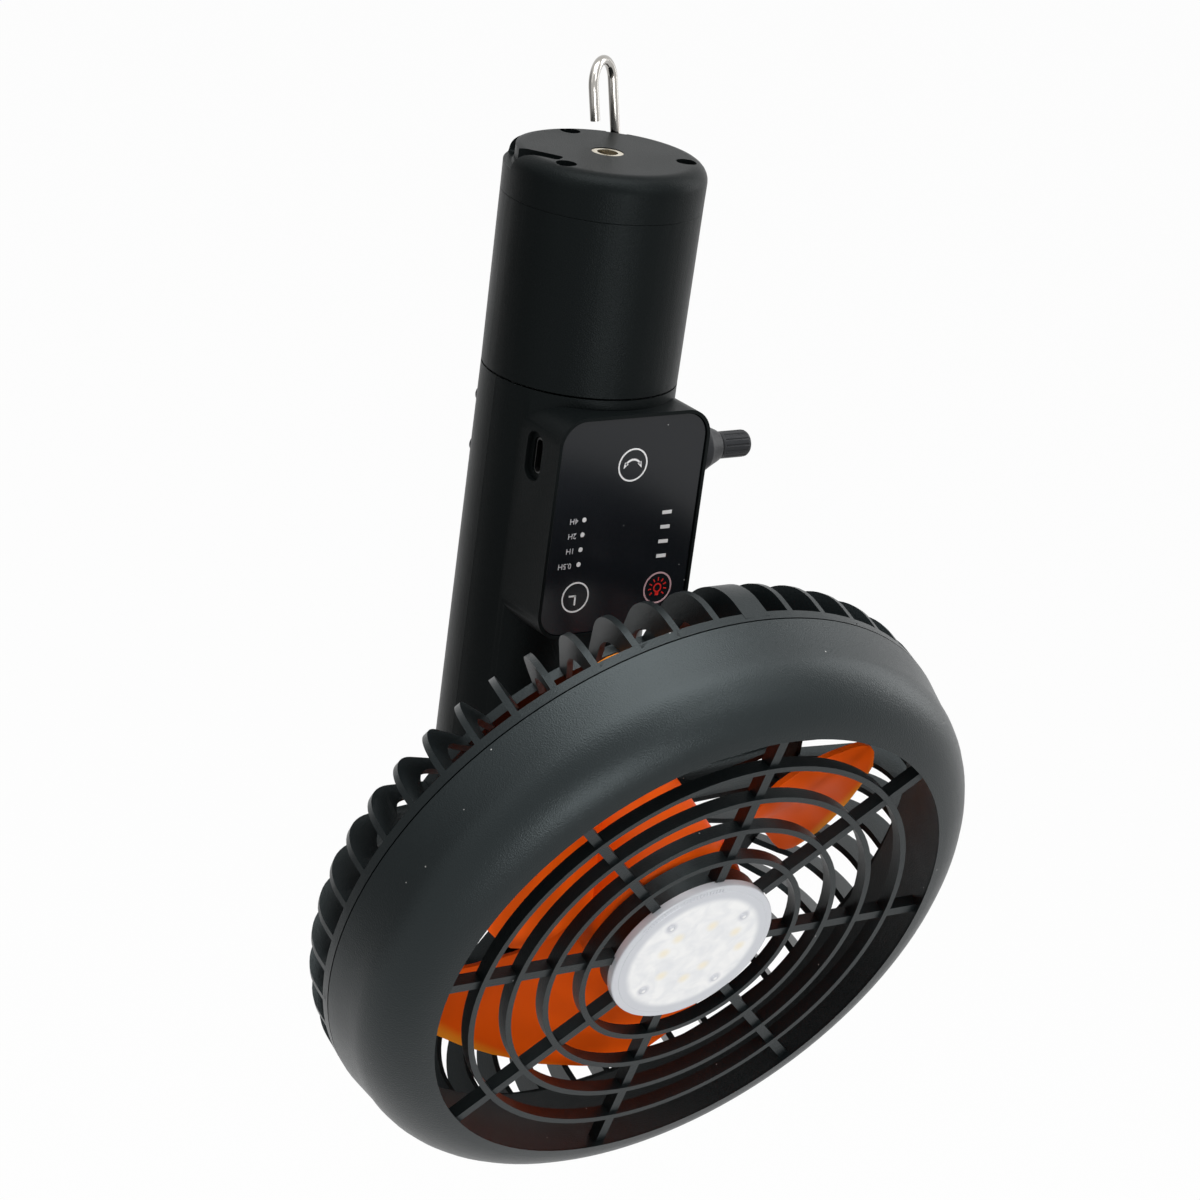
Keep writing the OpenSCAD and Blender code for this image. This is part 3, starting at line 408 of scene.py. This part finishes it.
plastics = {
    "bodyPlastic": {"colour": (0.0034, 0.0045, 0.0046), "roughness": 0.38, "depth": 0.3, "grain": 2800,
                    "specular": 0.07, "sheen": (0.88, 0.98, 1.0), "dust": 0.012},
    "headPlastic": {"colour": (0.0045, 0.0062, 0.0067), "roughness": 0.36, "depth": 0.3, "grain": 2600,
                    "specular": 0.32, "sheen": (0.84, 0.97, 1.0), "dust": 0.03},
    # the blades' lighter orange outer edge is a painted highlight
    "bladePlastic": {"colour": (0.93, 0.108, 0.004), "roughness": 0.42, "depth": 0.04, "grain": 3000,
                     "specular": 0.05, "rim": {"in": 66.0, "out": 70.0, "colour": (0.95, 0.3, 0.02)}},
    "innerPlastic": {"colour": (0.02, 0.02, 0.022), "roughness": 0.5, "depth": 0.1, "grain": 4000,
                     "specular": 0.4},
    "knobPlastic": {"colour": (0.012, 0.013, 0.015), "roughness": 0.4, "depth": 0.15, "grain": 5000,
                    "specular": 0.2},
    "panelGloss": {"colour": (0.0055, 0.0068, 0.0088), "roughness": 0.24, "depth": 0.03, "grain": 2500,
                   "specular": 0.34, "dust": 0.02},
}
plains = {
    "brightSteel": {"colour": (0.4, 0.385, 0.36), "roughness": 0.18, "metallic": 1.0},
    "nickelPlate": {"colour": (0.66, 0.6, 0.48), "roughness": 0.25, "metallic": 1.0},
    "blackenedSteel": {"colour": (0.06, 0.06, 0.065), "roughness": 0.35, "metallic": 0.9},
    "portSteel": {"colour": (0.14, 0.14, 0.14), "roughness": 0.3, "metallic": 1.0},
    "motorCase": {"colour": (0.5, 0.5, 0.51), "roughness": 0.32, "metallic": 1.0},
    "cellWrap": {"colour": (0.03, 0.15, 0.4), "roughness": 0.3},
    "solderMask": {"colour": (0.01, 0.09, 0.03), "roughness": 0.35},
    "lampBoard": {"colour": (0.85, 0.85, 0.82), "roughness": 0.4},
    "printWhite": {"colour": (0.74, 0.74, 0.74), "roughness": 0.5, "specular": 0.2},
    "printRed": {"colour": (0.62, 0.02, 0.015), "roughness": 0.5, "specular": 0.2},
    "printPink": {"colour": (0.5, 0.32, 0.34), "roughness": 0.5, "specular": 0.2},
    "printGrey": {"colour": (0.55, 0.55, 0.57), "roughness": 0.5, "specular": 0.2},
}
finishes = {name: mouldedPlastic(name, look) for name, look in plastics.items()}
finishes["frostedLens"] = frostedLens("frostedLens")
finishes.update({name: plainFinish(name, look) for name, look in plains.items()})

# nodes that keep their own mesh and only take a finish
cadFinish = {
    "innerPlastic": ["battery_frame", "swivel_plate", "speed_pot"],
    "brightSteel": ["hook_pin", "led_screws", "motor_shaft", "swivel_ring"],
    "portSteel": ["usb_socket"],
    "nickelPlate": ["tripod_socket"],
    "blackenedSteel": ["tilt_pin", "housing_screws", "neck_screws", "base_screws"],
    "motorCase": ["swing_motor", "fan_motor"],
    "cellWrap": ["battery_cells"],
    "solderMask": ["control_board"],
    "lampBoard": ["led_board"],
}
for finishName, nodeNames in cadFinish.items():
    for nodeName in nodeNames:
        node = frame["nodes"][nodeName]
        node.data.materials.clear()
        node.data.materials.append(finishes[finishName])
print("finishes done")

# shells as they leave the mould: each is a copy of its solid with the corners joined, the edges rounded
# and the long curves shaded smooth
shells = {
    "baseCapShell": {"node": "base_cap", "body": "base", "finish": "bodyPlastic", "round": 0.3},
    "baseTubeShell": {"node": "base_tube", "body": "base", "finish": "bodyPlastic", "round": 0.15},
    "frontShell": {"node": "housing_front", "body": "column", "finish": "bodyPlastic", "round": 0.3},
    "rearShell": {"node": "housing_rear", "body": "column", "finish": "bodyPlastic", "round": 0.3},
    "yokeShell": {"node": "neck_yoke", "body": "column", "finish": "bodyPlastic", "round": 0.3},
    "neckArmShell": {"node": "neck_arm", "body": "head", "finish": "bodyPlastic", "round": 0.3},
    "knobCollarShell": {"node": "knob_collar", "body": "column", "finish": "knobPlastic", "round": 0.2},
    "knobShell": {"node": "speed_knob", "body": "knob", "finish": "knobPlastic", "round": 0.12},
    "panelPlate": {"node": "control_panel", "body": "column", "finish": "panelGloss", "round": 0.35},
    "rearCageShell": {"node": "rear_cage", "body": "head", "finish": "headPlastic", "round": 0.25},
    "frontGuardShell": {"node": "front_guard", "body": "head", "finish": "headPlastic", "round": 0.3},
    "hookWire": {"node": "hook", "body": "hook", "finish": "brightSteel", "round": 0.0},
}
sharpFrom = 38  # degrees between two faces from which their edge is a real one
weldGap = 0.003  # mm
flatBelow = 0.4  # degrees between two faces below which they are one


def clearNormals(obj):
    if obj.data.has_custom_normals:
        bpy.ops.mesh.customdata_custom_splitnormals_clear()


def evenShading(obj):  # long curves smooth, flat faces flat
    chosen(obj)
    clearNormals(obj)
    bpy.ops.object.shade_smooth_by_angle(angle=radians(sharpFrom))
    even = obj.modifiers.new("evenShading", "WEIGHTED_NORMAL")
    even.keep_sharp = True
    applyModifiers(obj)


def mouldedShell(name, look):
    source = frame["nodes"][look["node"]]
    shell = bpy.data.objects.new(name, source.data.copy())
    shell.data.name = name
    bpy.context.collection.objects.link(shell)
    chosen(shell)
    clearNormals(shell)
    bpy.ops.object.mode_set(mode="EDIT")
    bpy.ops.mesh.select_all(action="SELECT")
    bpy.ops.mesh.remove_doubles(threshold=weldGap * mm)
    bpy.ops.mesh.dissolve_limited(angle_limit=radians(flatBelow))
    bpy.ops.object.mode_set(mode="OBJECT")
    if look["round"]:
        edges = roundEdges(shell, look["round"], 2, sharpFrom)
        edges.limit_method = "ANGLE"
        edges.miter_outer = "MITER_ARC"
    applyModifiers(shell)
    evenShading(shell)
    return dress(shell, finishes[look["finish"]], look["body"], (look["node"],))


for shellName, look in shells.items():
    mouldedShell(shellName, look)
print("shells done")

# the stepped notch in the cap's rim: the corner behind it is filled, then the slot and its ledge are cut
notch = {
    "depth": 4.8, "plugR": 23.8, "plugFrom": (-24.5, -4.6, -9), "plugTo": (-12.5, 21.0, 1),
    "plugTop": -1, "plugLow": -6.2, "plugSteps": 128,
    "slotWide": 4.2, "slotLong": 22, "slotOver": 2, "slotTurn": 125, "slotRound": 1.2,
    "innerR": 18.0, "innerTurn": 188,
    "ledgeR": 22.9, "ledgeOut": 6, "ledgeHigh": 8, "ledgeFrom": 128, "ledgeTo": 167, "ledgeSteps": 16,
    "ledgeRound": 0.8, "roundSteps": 4, "roundFrom": 60,
}


def block(low, high, turn=0.0, at=(0, 0)):  # a block between two corners in mm, turned about its start
    deselectAll()
    bpy.ops.mesh.primitive_cube_add(size=1)
    made = bpy.context.object
    made.scale = [(h - l) * mm for l, h in zip(low, high)]
    made.location = [(h + l) / 2 * mm for l, h in zip(low, high)]
    keepTransform()
    made.rotation_euler = (0, 0, radians(turn))
    made.location = metres(*at, 0)
    keepTransform()
    return made


def softCutter(obj, width, name):  # rounds the edges of a cutter, so that what it cuts has soft corners
    roundEdges(obj, width, notch["roundSteps"], notch["roundFrom"])
    applyModifiers(obj)
    return settle(obj, Matrix.Translation(capTop), name)


cap = bpy.data.objects["baseCapShell"]
deselectAll()
bpy.ops.mesh.primitive_cylinder_add(
    vertices=notch["plugSteps"], radius=notch["plugR"] * mm,
    depth=(notch["plugTop"] - notch["plugLow"]) * mm,
    location=(0, 0, (notch["plugTop"] + notch["plugLow"]) / 2 * mm))
plug = bpy.context.object
keepTransform()
carve(plug, block(notch["plugFrom"], notch["plugTo"]), "INTERSECT")
carve(cap, settle(plug, Matrix.Translation(capTop), "plug"), "UNION")
half = notch["slotWide"] / 2
slot = block((-half, -half, -notch["depth"]), (notch["slotLong"], half, notch["slotOver"]),
             notch["slotTurn"], ringPoint(notch["innerR"], notch["innerTurn"]))
carve(cap, softCutter(slot, notch["slotRound"], "slot"), "DIFFERENCE")
ledge = firstPoint(*ringPoint(notch["ledgeR"], notch["ledgeFrom"]), -notch["depth"])
lineOn(*ringPoint(notch["ledgeOut"], notch["ledgeFrom"]), 0)
bpy.ops.mesh.select_all(action="SELECT")
bpy.ops.mesh.extrude_region_move(TRANSFORM_OT_translate={"value": metres(0, 0, notch["ledgeHigh"])})
turnAll(notch["ledgeFrom"] - notch["ledgeTo"], notch["ledgeSteps"])
faceOutwards()
carve(cap, softCutter(ledge, notch["ledgeRound"], "ledge"), "DIFFERENCE")
evenShading(cap)
print("cap notch done")

# the lamp's cover: a profile is drawn from the middle outwards and spun round the fan's axis
profile = [(x, lens["crown"] - drop) for x, drop in lens["face"]]
profile.append((lens["rimR"], lens["edgeTop"] + lens["rimHigh"]))
corner = (lens["radius"] - lens["round"], lens["edgeTop"] - lens["round"])
for step in range(lens["roundSteps"] + 1):  # rounded outer corner
    x, z = ringPoint(lens["round"], 90 - 90 / lens["roundSteps"] * step)
    profile.append((corner[0] + x, corner[1] + z))
profile += [(lens["radius"], lens["seat"]), (lens["radius"] - lens["seatWide"], lens["seat"]),
            (0.0, lens["seat"])]
dome = [(0.0, lens["bumpHigh"]), (0.35 * lens["bumpR"], 0.93 * lens["bumpHigh"]),
        (0.7 * lens["bumpR"], 0.6 * lens["bumpHigh"]), (lens["bumpR"], 0.0), (0.0, -0.2)]
cover = [lathed(profile, lens["steps"])]
for turn in bumpTurns():  # low domes over the screw heads
    bump = lathed(dome, lens["bumpSteps"])
    bump.location = metres(*ringPoint(lens["bumpRing"], turn), lens["crown"] - lens["bumpSunk"])
    cover.append(bump)
for index in range(lens["teeth"]):  # fine teeth moulded under the upper rim
    turn = lens["toothFrom"] + lens["toothSpan"] * index / (lens["teeth"] - 1)
    deselectAll()
    bpy.ops.mesh.primitive_cube_add(size=1, rotation=(0, 0, radians(turn)),
                                    location=metres(*ringPoint(lens["toothR"], turn), lens["edgeTop"]))
    tooth = bpy.context.object
    tooth.scale = metres(*lens["toothSize"])
    cover.append(tooth)
cover = settle(joined(cover), headPlace, "lampCover")
bpy.ops.object.shade_smooth_by_angle(angle=radians(lens["smoothFrom"]))
dress(cover, finishes["frostedLens"], "head", ("led_lens",))
print("lamp cover done")

# the fan's rotor: each blade is a sheet bent over its rows from the hub to the tip, then given thickness
rotor = {
    "hubR": 22.0, "hubFront": -11.0, "hubLow": -44.0, "hubWall": 2.0, "hubRoof": 2.6, "hubFoot": 0.4,
    # how far in from the hub's radius and down from its front
    "shoulder": ((22.0, 0), (4.0, 0), (2.2, 0.35), (0.9, 1.2), (0.2, 2.4), (0, 3.8)), "hubSteps": 96,
    "tipR": 66.55, "front": -15.6, "fall": 0.47, "turn": 61, "blades": 3, "columns": 22,
    "thick": 1.4, "edge": 0.3, "edgeSteps": 3, "edgeFrom": 50,
    # share of the reach, turn back to the front edge, turn back to the rear edge
    "rows": ((-0.027, 9, 50), (0.065, 5.4, 51.5), (0.13, 1.3, 53), (0.22, -2.9, 54.9), (0.31, -5.2, 57),
             (0.41, -5.8, 60), (0.52, -4, 63.7), (0.61, -0.4, 66.6), (0.72, 4.4, 70.7),
             (0.81, 8.6, 73.6), (0.9, 12.9, 75.6), (0.965, 16.6, 76), (1, 20.5, 75.4), (1.014, 25, 75),
             (1.034, 36, 73.8), (1.06, 46.5, 71.6), (1.083, 54, 69), (1.1, 60.5, 64.5)),
    # turn back from the front edge, and how far the blade has fallen there
    "bend": ((-8, -4), (0, 0), (7, 3.2), (14, 7), (21, 11.9), (28, 17.2), (36, 24.7), (44, 32.8),
             (52, 40.9), (58, 46.4), (64, 51.1), (70, 54.9), (77, 58.7)),
}


def lookUp(table, at):
    for (x0, y0), (x1, y1) in zip(table, table[1:]):
        if at <= x1:
            return y0 + (y1 - y0) * (at - x0) / (x1 - x0)
    return table[-1][1]


def bladeSheet(turn):
    deselectAll()
    rows = rotor["rows"]
    bpy.ops.mesh.primitive_grid_add(x_subdivisions=rotor["columns"], y_subdivisions=len(rows) - 1,
                                    size=1)
    sheet = bpy.context.object
    for corner in sheet.data.vertices:
        reach, frontTurn, rearTurn = rows[round((corner.co.y + 0.5) * (len(rows) - 1))]
        behind = frontTurn + (rearTurn - frontTurn) * (corner.co.x + 0.5)
        ring = rotor["hubR"] + (rotor["tipR"] - rotor["hubR"]) * reach
        fallen = rotor["fall"] * lookUp(rotor["bend"], behind)
        corner.co = metres(*ringPoint(ring, turn - behind), rotor["front"] - fallen)
    sheet.data.update()
    wall = sheet.modifiers.new("wall", "SOLIDIFY")
    wall.thickness = rotor["thick"] * mm
    wall.offset = 0
    roundEdges(sheet, rotor["edge"], rotor["edgeSteps"], rotor["edgeFrom"])
    applyModifiers(sheet)
    return sheet


hubR, hubFront, hubLow = rotor["hubR"], rotor["hubFront"], rotor["hubLow"]
hubLine = [(hubR - inwards, hubFront - down) for inwards, down in rotor["shoulder"]]
hubLine += [(hubR, hubLow + rotor["hubFoot"]), (hubR - rotor["hubFoot"], hubLow),
            (hubR - rotor["hubWall"], hubLow), (hubR - rotor["hubWall"], hubFront - rotor["hubRoof"]),
            (0.0, hubFront - rotor["hubRoof"])]
fan = lathed(hubLine, rotor["hubSteps"])
for index in range(rotor["blades"]):
    carve(fan, bladeSheet(rotor["turn"] + 360 * index / rotor["blades"]), "UNION")
settle(fan, headPlace, "fanRotor")
bpy.ops.object.shade_smooth_by_angle(angle=radians(sharpFrom))
dress(fan, finishes["bladePlastic"], "rotor", ("fan_blades",))
print("fan rotor done")

# keys and lights printed on the panel, read with the fan standing on its base, so here they are upside
# down; their x and z are in mm from the middle of the base's flat end
printing = {"thick": 0.06, "lift": 0.02}
panelPlace = Matrix.Translation((plateCentre.x, panelFront - printing["lift"] * mm, plateCentre.z)) @ \
    Matrix.Rotation(radians(90), 4, "X")


def printedFlat(obj, name, turn, x, z, finishName):  # a flat drawing becomes a thin plate on the panel
    chosen(obj)
    bpy.ops.object.convert(target="MESH")
    bpy.ops.object.mode_set(mode="EDIT")
    faceOutwards()
    thick = obj.modifiers.new("thick", "SOLIDIFY")
    thick.thickness = printing["thick"] * mm
    thick.offset = 0
    applyModifiers(obj)
    spot = Matrix.Translation(metres(x, z, 0)) @ Matrix.Rotation(radians(turn), 4, "Z")
    settle(obj, panelPlace @ spot, name)
    return dress(obj, finishes[finishName], "column")


def flatDisc(radius, corners=40):
    deselectAll()
    bpy.ops.mesh.primitive_circle_add(vertices=corners, radius=radius * mm, fill_type="NGON")
    return bpy.context.object


def flatRing(outer, width, corners=56):
    ring = flatDisc(outer, corners)
    bpy.ops.object.mode_set(mode="EDIT")
    bpy.ops.mesh.select_mode(type="FACE")
    bpy.ops.mesh.select_all(action="SELECT")
    bpy.ops.mesh.inset(thickness=width * mm)
    bpy.ops.mesh.delete(type="FACE")
    bpy.ops.object.mode_set(mode="OBJECT")
    return ring


def flatBar(width, height, x=0.0, y=0.0, turn=0.0):
    deselectAll()
    bpy.ops.mesh.primitive_plane_add(size=1, location=metres(x, y, 0), rotation=(0, 0, radians(turn)))
    bar = bpy.context.object
    bar.scale = (width * mm, height * mm, 1)
    keepTransform()
    return bar


def flatArc(radius, width, start, end, steps=24):  # from start to end, in degrees anticlockwise
    arc = firstPoint(*ringPoint(radius - width / 2, start), 0)
    lineOn(*ringPoint(width, start), 0)
    turnAll(start - end, steps)
    bpy.ops.object.mode_set(mode="OBJECT")
    return arc


def flatTriangle(size, x, y, turn):  # an arrowhead whose tip points along turn
    deselectAll()
    bpy.ops.mesh.primitive_circle_add(vertices=3, radius=size * mm, fill_type="NGON",
                                      location=metres(x, y, 0), rotation=(0, 0, radians(turn - 90)))
    bpy.context.object.scale = (0.75, 1.15, 1)
    keepTransform()
    return bpy.context.object


def lettering(words, height):
    deselectAll()
    bpy.ops.object.text_add()
    text = bpy.context.object
    text.data.body = words
    text.data.size = height * mm
    text.data.align_x = "CENTER"
    text.data.align_y = "CENTER"
    text.data.resolution_u = 3
    return text


def keyRing(key, name, finishName):
    printedFlat(flatRing(key["ringR"], key["ringWide"]), name, 0, key["x"], key["z"], finishName)


swingKey = {"x": 0.3, "z": -72.9, "ringR": 4.4, "ringWide": 0.42, "arcR": 2.5, "arcWide": 0.5,
            "arcFrom": 28, "arcTo": 152, "arcDrop": 1.1, "tip": 0.95}
keyRing(swingKey, "swingKeyRing", "printWhite")
arc = [flatArc(swingKey["arcR"], swingKey["arcWide"], swingKey["arcFrom"], swingKey["arcTo"])]
for turn, lean in ((swingKey["arcFrom"], -90), (swingKey["arcTo"], 90)):
    arc.append(flatTriangle(swingKey["tip"], *ringPoint(swingKey["arcR"], turn), turn + lean))
printedFlat(joined(arc), "swingKeyArc", 0, swingKey["x"], swingKey["z"] - swingKey["arcDrop"],
            "printWhite")

timer = {"x": -12.3, "top": -86.4, "step": 3.96, "labels": ("4H", "2H", "1H", "0.5H"), "dotR": 0.62,
         "dotSteps": 20, "textHigh": 2.1, "textGap": 2.0, "perLetter": 0.55, "textDrop": 0.1}
for index, label in enumerate(timer["labels"]):
    z = timer["top"] - index * timer["step"]
    printedFlat(flatDisc(timer["dotR"], timer["dotSteps"]), "timerDot" + label, 0, timer["x"], z,
                "printWhite")
    printedFlat(lettering(label, timer["textHigh"]), "timerLabel" + label, 180,
                timer["x"] - timer["textGap"] - timer["perLetter"] * len(label), z - timer["textDrop"],
                "printGrey")

timerKey = {"x": -12.0, "z": -107.1, "ringR": 4.1, "ringWide": 0.4,
            "hands": ((2.1, 0.45, -0.9, 0.35), (0.45, 2.7, 0.0, -0.8))}
keyRing(timerKey, "timerKeyRing", "printWhite")
hands = [flatBar(*hand) for hand in timerKey["hands"]]
printedFlat(joined(hands), "timerKeyHands", 0, timerKey["x"], timerKey["z"], "printWhite")

gauge = {"x": 12.95, "top": -86.5, "step": 3.92, "bars": 4, "wide": 2.9, "high": 0.95}
for index in range(gauge["bars"]):
    printedFlat(flatBar(gauge["wide"], gauge["high"]), "gaugeBar" + str(index + 1), 0, gauge["x"],
                gauge["top"] - index * gauge["step"], "printWhite")

lampKey = {"x": 13.2, "z": -107.0, "ringR": 4.3, "ringWide": 0.42, "bulbR": 1.25, "bulbWide": 0.36,
           "bulbSteps": 28, "foot": (1.1, 0.9, 0, -1.6), "rays": 9, "rayR": 2.35, "rayFrom": -40,
           "raySpan": 260, "rayLong": 0.9, "rayWide": 0.32}
keyRing(lampKey, "lampKeyRing", "printPink")
bulb = [flatRing(lampKey["bulbR"], lampKey["bulbWide"], lampKey["bulbSteps"]),
        flatBar(*lampKey["foot"])]
for index in range(lampKey["rays"]):
    turn = lampKey["rayFrom"] + lampKey["raySpan"] * index / (lampKey["rays"] - 1)
    bulb.append(flatBar(lampKey["rayLong"], lampKey["rayWide"], *ringPoint(lampKey["rayR"], turn), turn))
printedFlat(joined(bulb), "lampKeyBulb", 0, lampKey["x"], lampKey["z"], "printRed")
print("panel printing done")

# floor, light and camera
stage = {"drop": 0.55, "floorSize": 30.0, "floorGrey": 0.9, "floorShine": 0.97, "worldLight": 0.22,
         "aim": (0, -0.03, -0.14)}
deselectAll()
bpy.ops.mesh.primitive_plane_add(size=stage["floorSize"], location=(0, 0, cadBox[0][2] - stage["drop"]))
floor = bpy.context.object
floor.name = "paleFloor"


def seenDirectly(tree):  # 1 for rays from the camera, or from a gloss or glass straight after it
    path = tree.nodes.new("ShaderNodeLightPath")
    total = path.outputs["Is Camera Ray"]
    for ray in ("Is Glossy Ray", "Is Transmission Ray"):
        add = tree.nodes.new("ShaderNodeMath")
        add.operation = "MAXIMUM"
        tree.links.new(total, add.inputs[0])
        tree.links.new(path.outputs[ray], add.inputs[1])
        total = add.outputs["Value"]
    return total


def blendShaders(tree, mask, first, second, surface):
    blend = tree.nodes.new("ShaderNodeMixShader")
    tree.links.new(mask, blend.inputs["Fac"])
    tree.links.new(first, blend.inputs[1])
    tree.links.new(second, blend.inputs[2])
    tree.links.new(blend.outputs["Shader"], surface)


floorMaterial, floorTree, floorShader = newMaterial("paleFloor")
floorShader.inputs["Base Color"].default_value = (*[stage["floorGrey"]] * 3, 1)
floorShader.inputs["Roughness"].default_value = 0.9
glow = floorTree.nodes.new("ShaderNodeEmission")
glow.inputs["Strength"].default_value = 1
share = floorTree.nodes.new("ShaderNodeMath")  # the rest is the lit floor, which keeps the shadow
share.operation = "MULTIPLY"
share.inputs[1].default_value = stage["floorShine"]
floorTree.links.new(seenDirectly(floorTree), share.inputs[0])
blendShaders(floorTree, share.outputs["Value"], floorShader.outputs["BSDF"], glow.outputs["Emission"],
             floorTree.nodes["Material Output"].inputs["Surface"])
floor.data.materials.append(floorMaterial)

world = bpy.data.worlds.new("paleRoom")
bpy.context.scene.world = world
world.use_nodes = True
worldTree = world.node_tree
soft = worldTree.nodes["Background"]
plain = worldTree.nodes.new("ShaderNodeBackground")
for light, strength in ((soft, stage["worldLight"]), (plain, 1)):
    light.inputs["Color"].default_value = (1, 1, 1, 1)
    light.inputs["Strength"].default_value = strength
blendShaders(worldTree, seenDirectly(worldTree), soft.outputs["Background"], plain.outputs["Background"],
             worldTree.nodes["World Output"].inputs["Surface"])


def softbox(name, box):
    light = bpy.data.lights.new(name, "AREA")
    light.shape = "RECTANGLE"
    light.size = box["wide"]
    light.size_y = box["high"]
    light.energy = box["watts"]
    lamp = bpy.data.objects.new(name, light)
    lamp.location = box["at"]
    away = Vector(stage["aim"]) - Vector(box["at"])
    lamp.rotation_euler = away.to_track_quat("-Z", "Y").to_euler()
    bpy.context.collection.objects.link(lamp)


lamps = {
    "leftBox": {"at": (-1.1, -0.2, 0.5), "wide": 0.6, "high": 0.8, "watts": 1},
    "rightBox": {"at": (1.0, -0.1, 0.3), "wide": 0.35, "high": 1.0, "watts": 3.5},
    "topBox": {"at": (-0.12, -0.25, 1.1), "wide": 1.3, "high": 1.0, "watts": 21},
    "frontBox": {"at": (0.25, -1.35, 0.85), "wide": 0.6, "high": 0.6, "watts": 5},
    "lowBox": {"at": (-0.25, -1.35, -0.3), "wide": 0.6, "high": 0.4, "watts": 6.2},
}
for name, box in lamps.items():
    softbox(name, box)

# a grey card behind the left side, seen only in reflections, which darkens that side of the head
card = {"at": (-0.82, 0.55, -0.14), "size": 1.25, "grey": 0.4}
deselectAll()
bpy.ops.mesh.primitive_plane_add(size=card["size"])
greyCard = bpy.context.object
greyCard.name = "greyCard"
cardTurn = (Vector(stage["aim"]) - Vector(card["at"])).to_track_quat("Z", "Y")
greyCard.data.transform(Matrix.Translation(card["at"]) @ cardTurn.to_matrix().to_4x4())
cardMaterial, cardTree, cardShader = newMaterial("greyCard")
cardTree.nodes.remove(cardShader)
matt = cardTree.nodes.new("ShaderNodeEmission")
matt.inputs["Color"].default_value = (*[card["grey"]] * 3, 1)
matt.inputs["Strength"].default_value = 1
cardTree.links.new(matt.outputs["Emission"], cardTree.nodes["Material Output"].inputs["Surface"])
greyCard.data.materials.append(cardMaterial)
greyCard.visible_camera = False
greyCard.visible_diffuse = False
greyCard.visible_transmission = False
greyCard.visible_shadow = False

# eye in mm from the middle of the base's flat end; across and back are the picture's own directions
view = {"eye": (-562.1, -779.3, 233.6), "across": (0.8232, -0.5535, 0.1260),
        "back": (-0.5597, -0.7542, 0.3433), "lens": 118.87, "sensor": 36, "nearest": 0.01}
back = Vector(view["back"]).normalized()
upward = back.cross(Vector(view["across"]).normalized()).normalized()
across = upward.cross(back).normalized()
camera = bpy.data.objects.new("camera", bpy.data.cameras.new("camera"))
bpy.context.collection.objects.link(camera)
camera.matrix_world = Matrix.Translation(Vector(view["eye"]) * mm + plateCentre) @ \
    Matrix((across, upward, back)).transposed().to_4x4()
camera.data.lens = view["lens"]
camera.data.sensor_width = view["sensor"]
camera.data.clip_start = view["nearest"]
bpy.context.scene.camera = camera
bpy.context.scene.view_settings.view_transform = "Standard"
print("stage done")
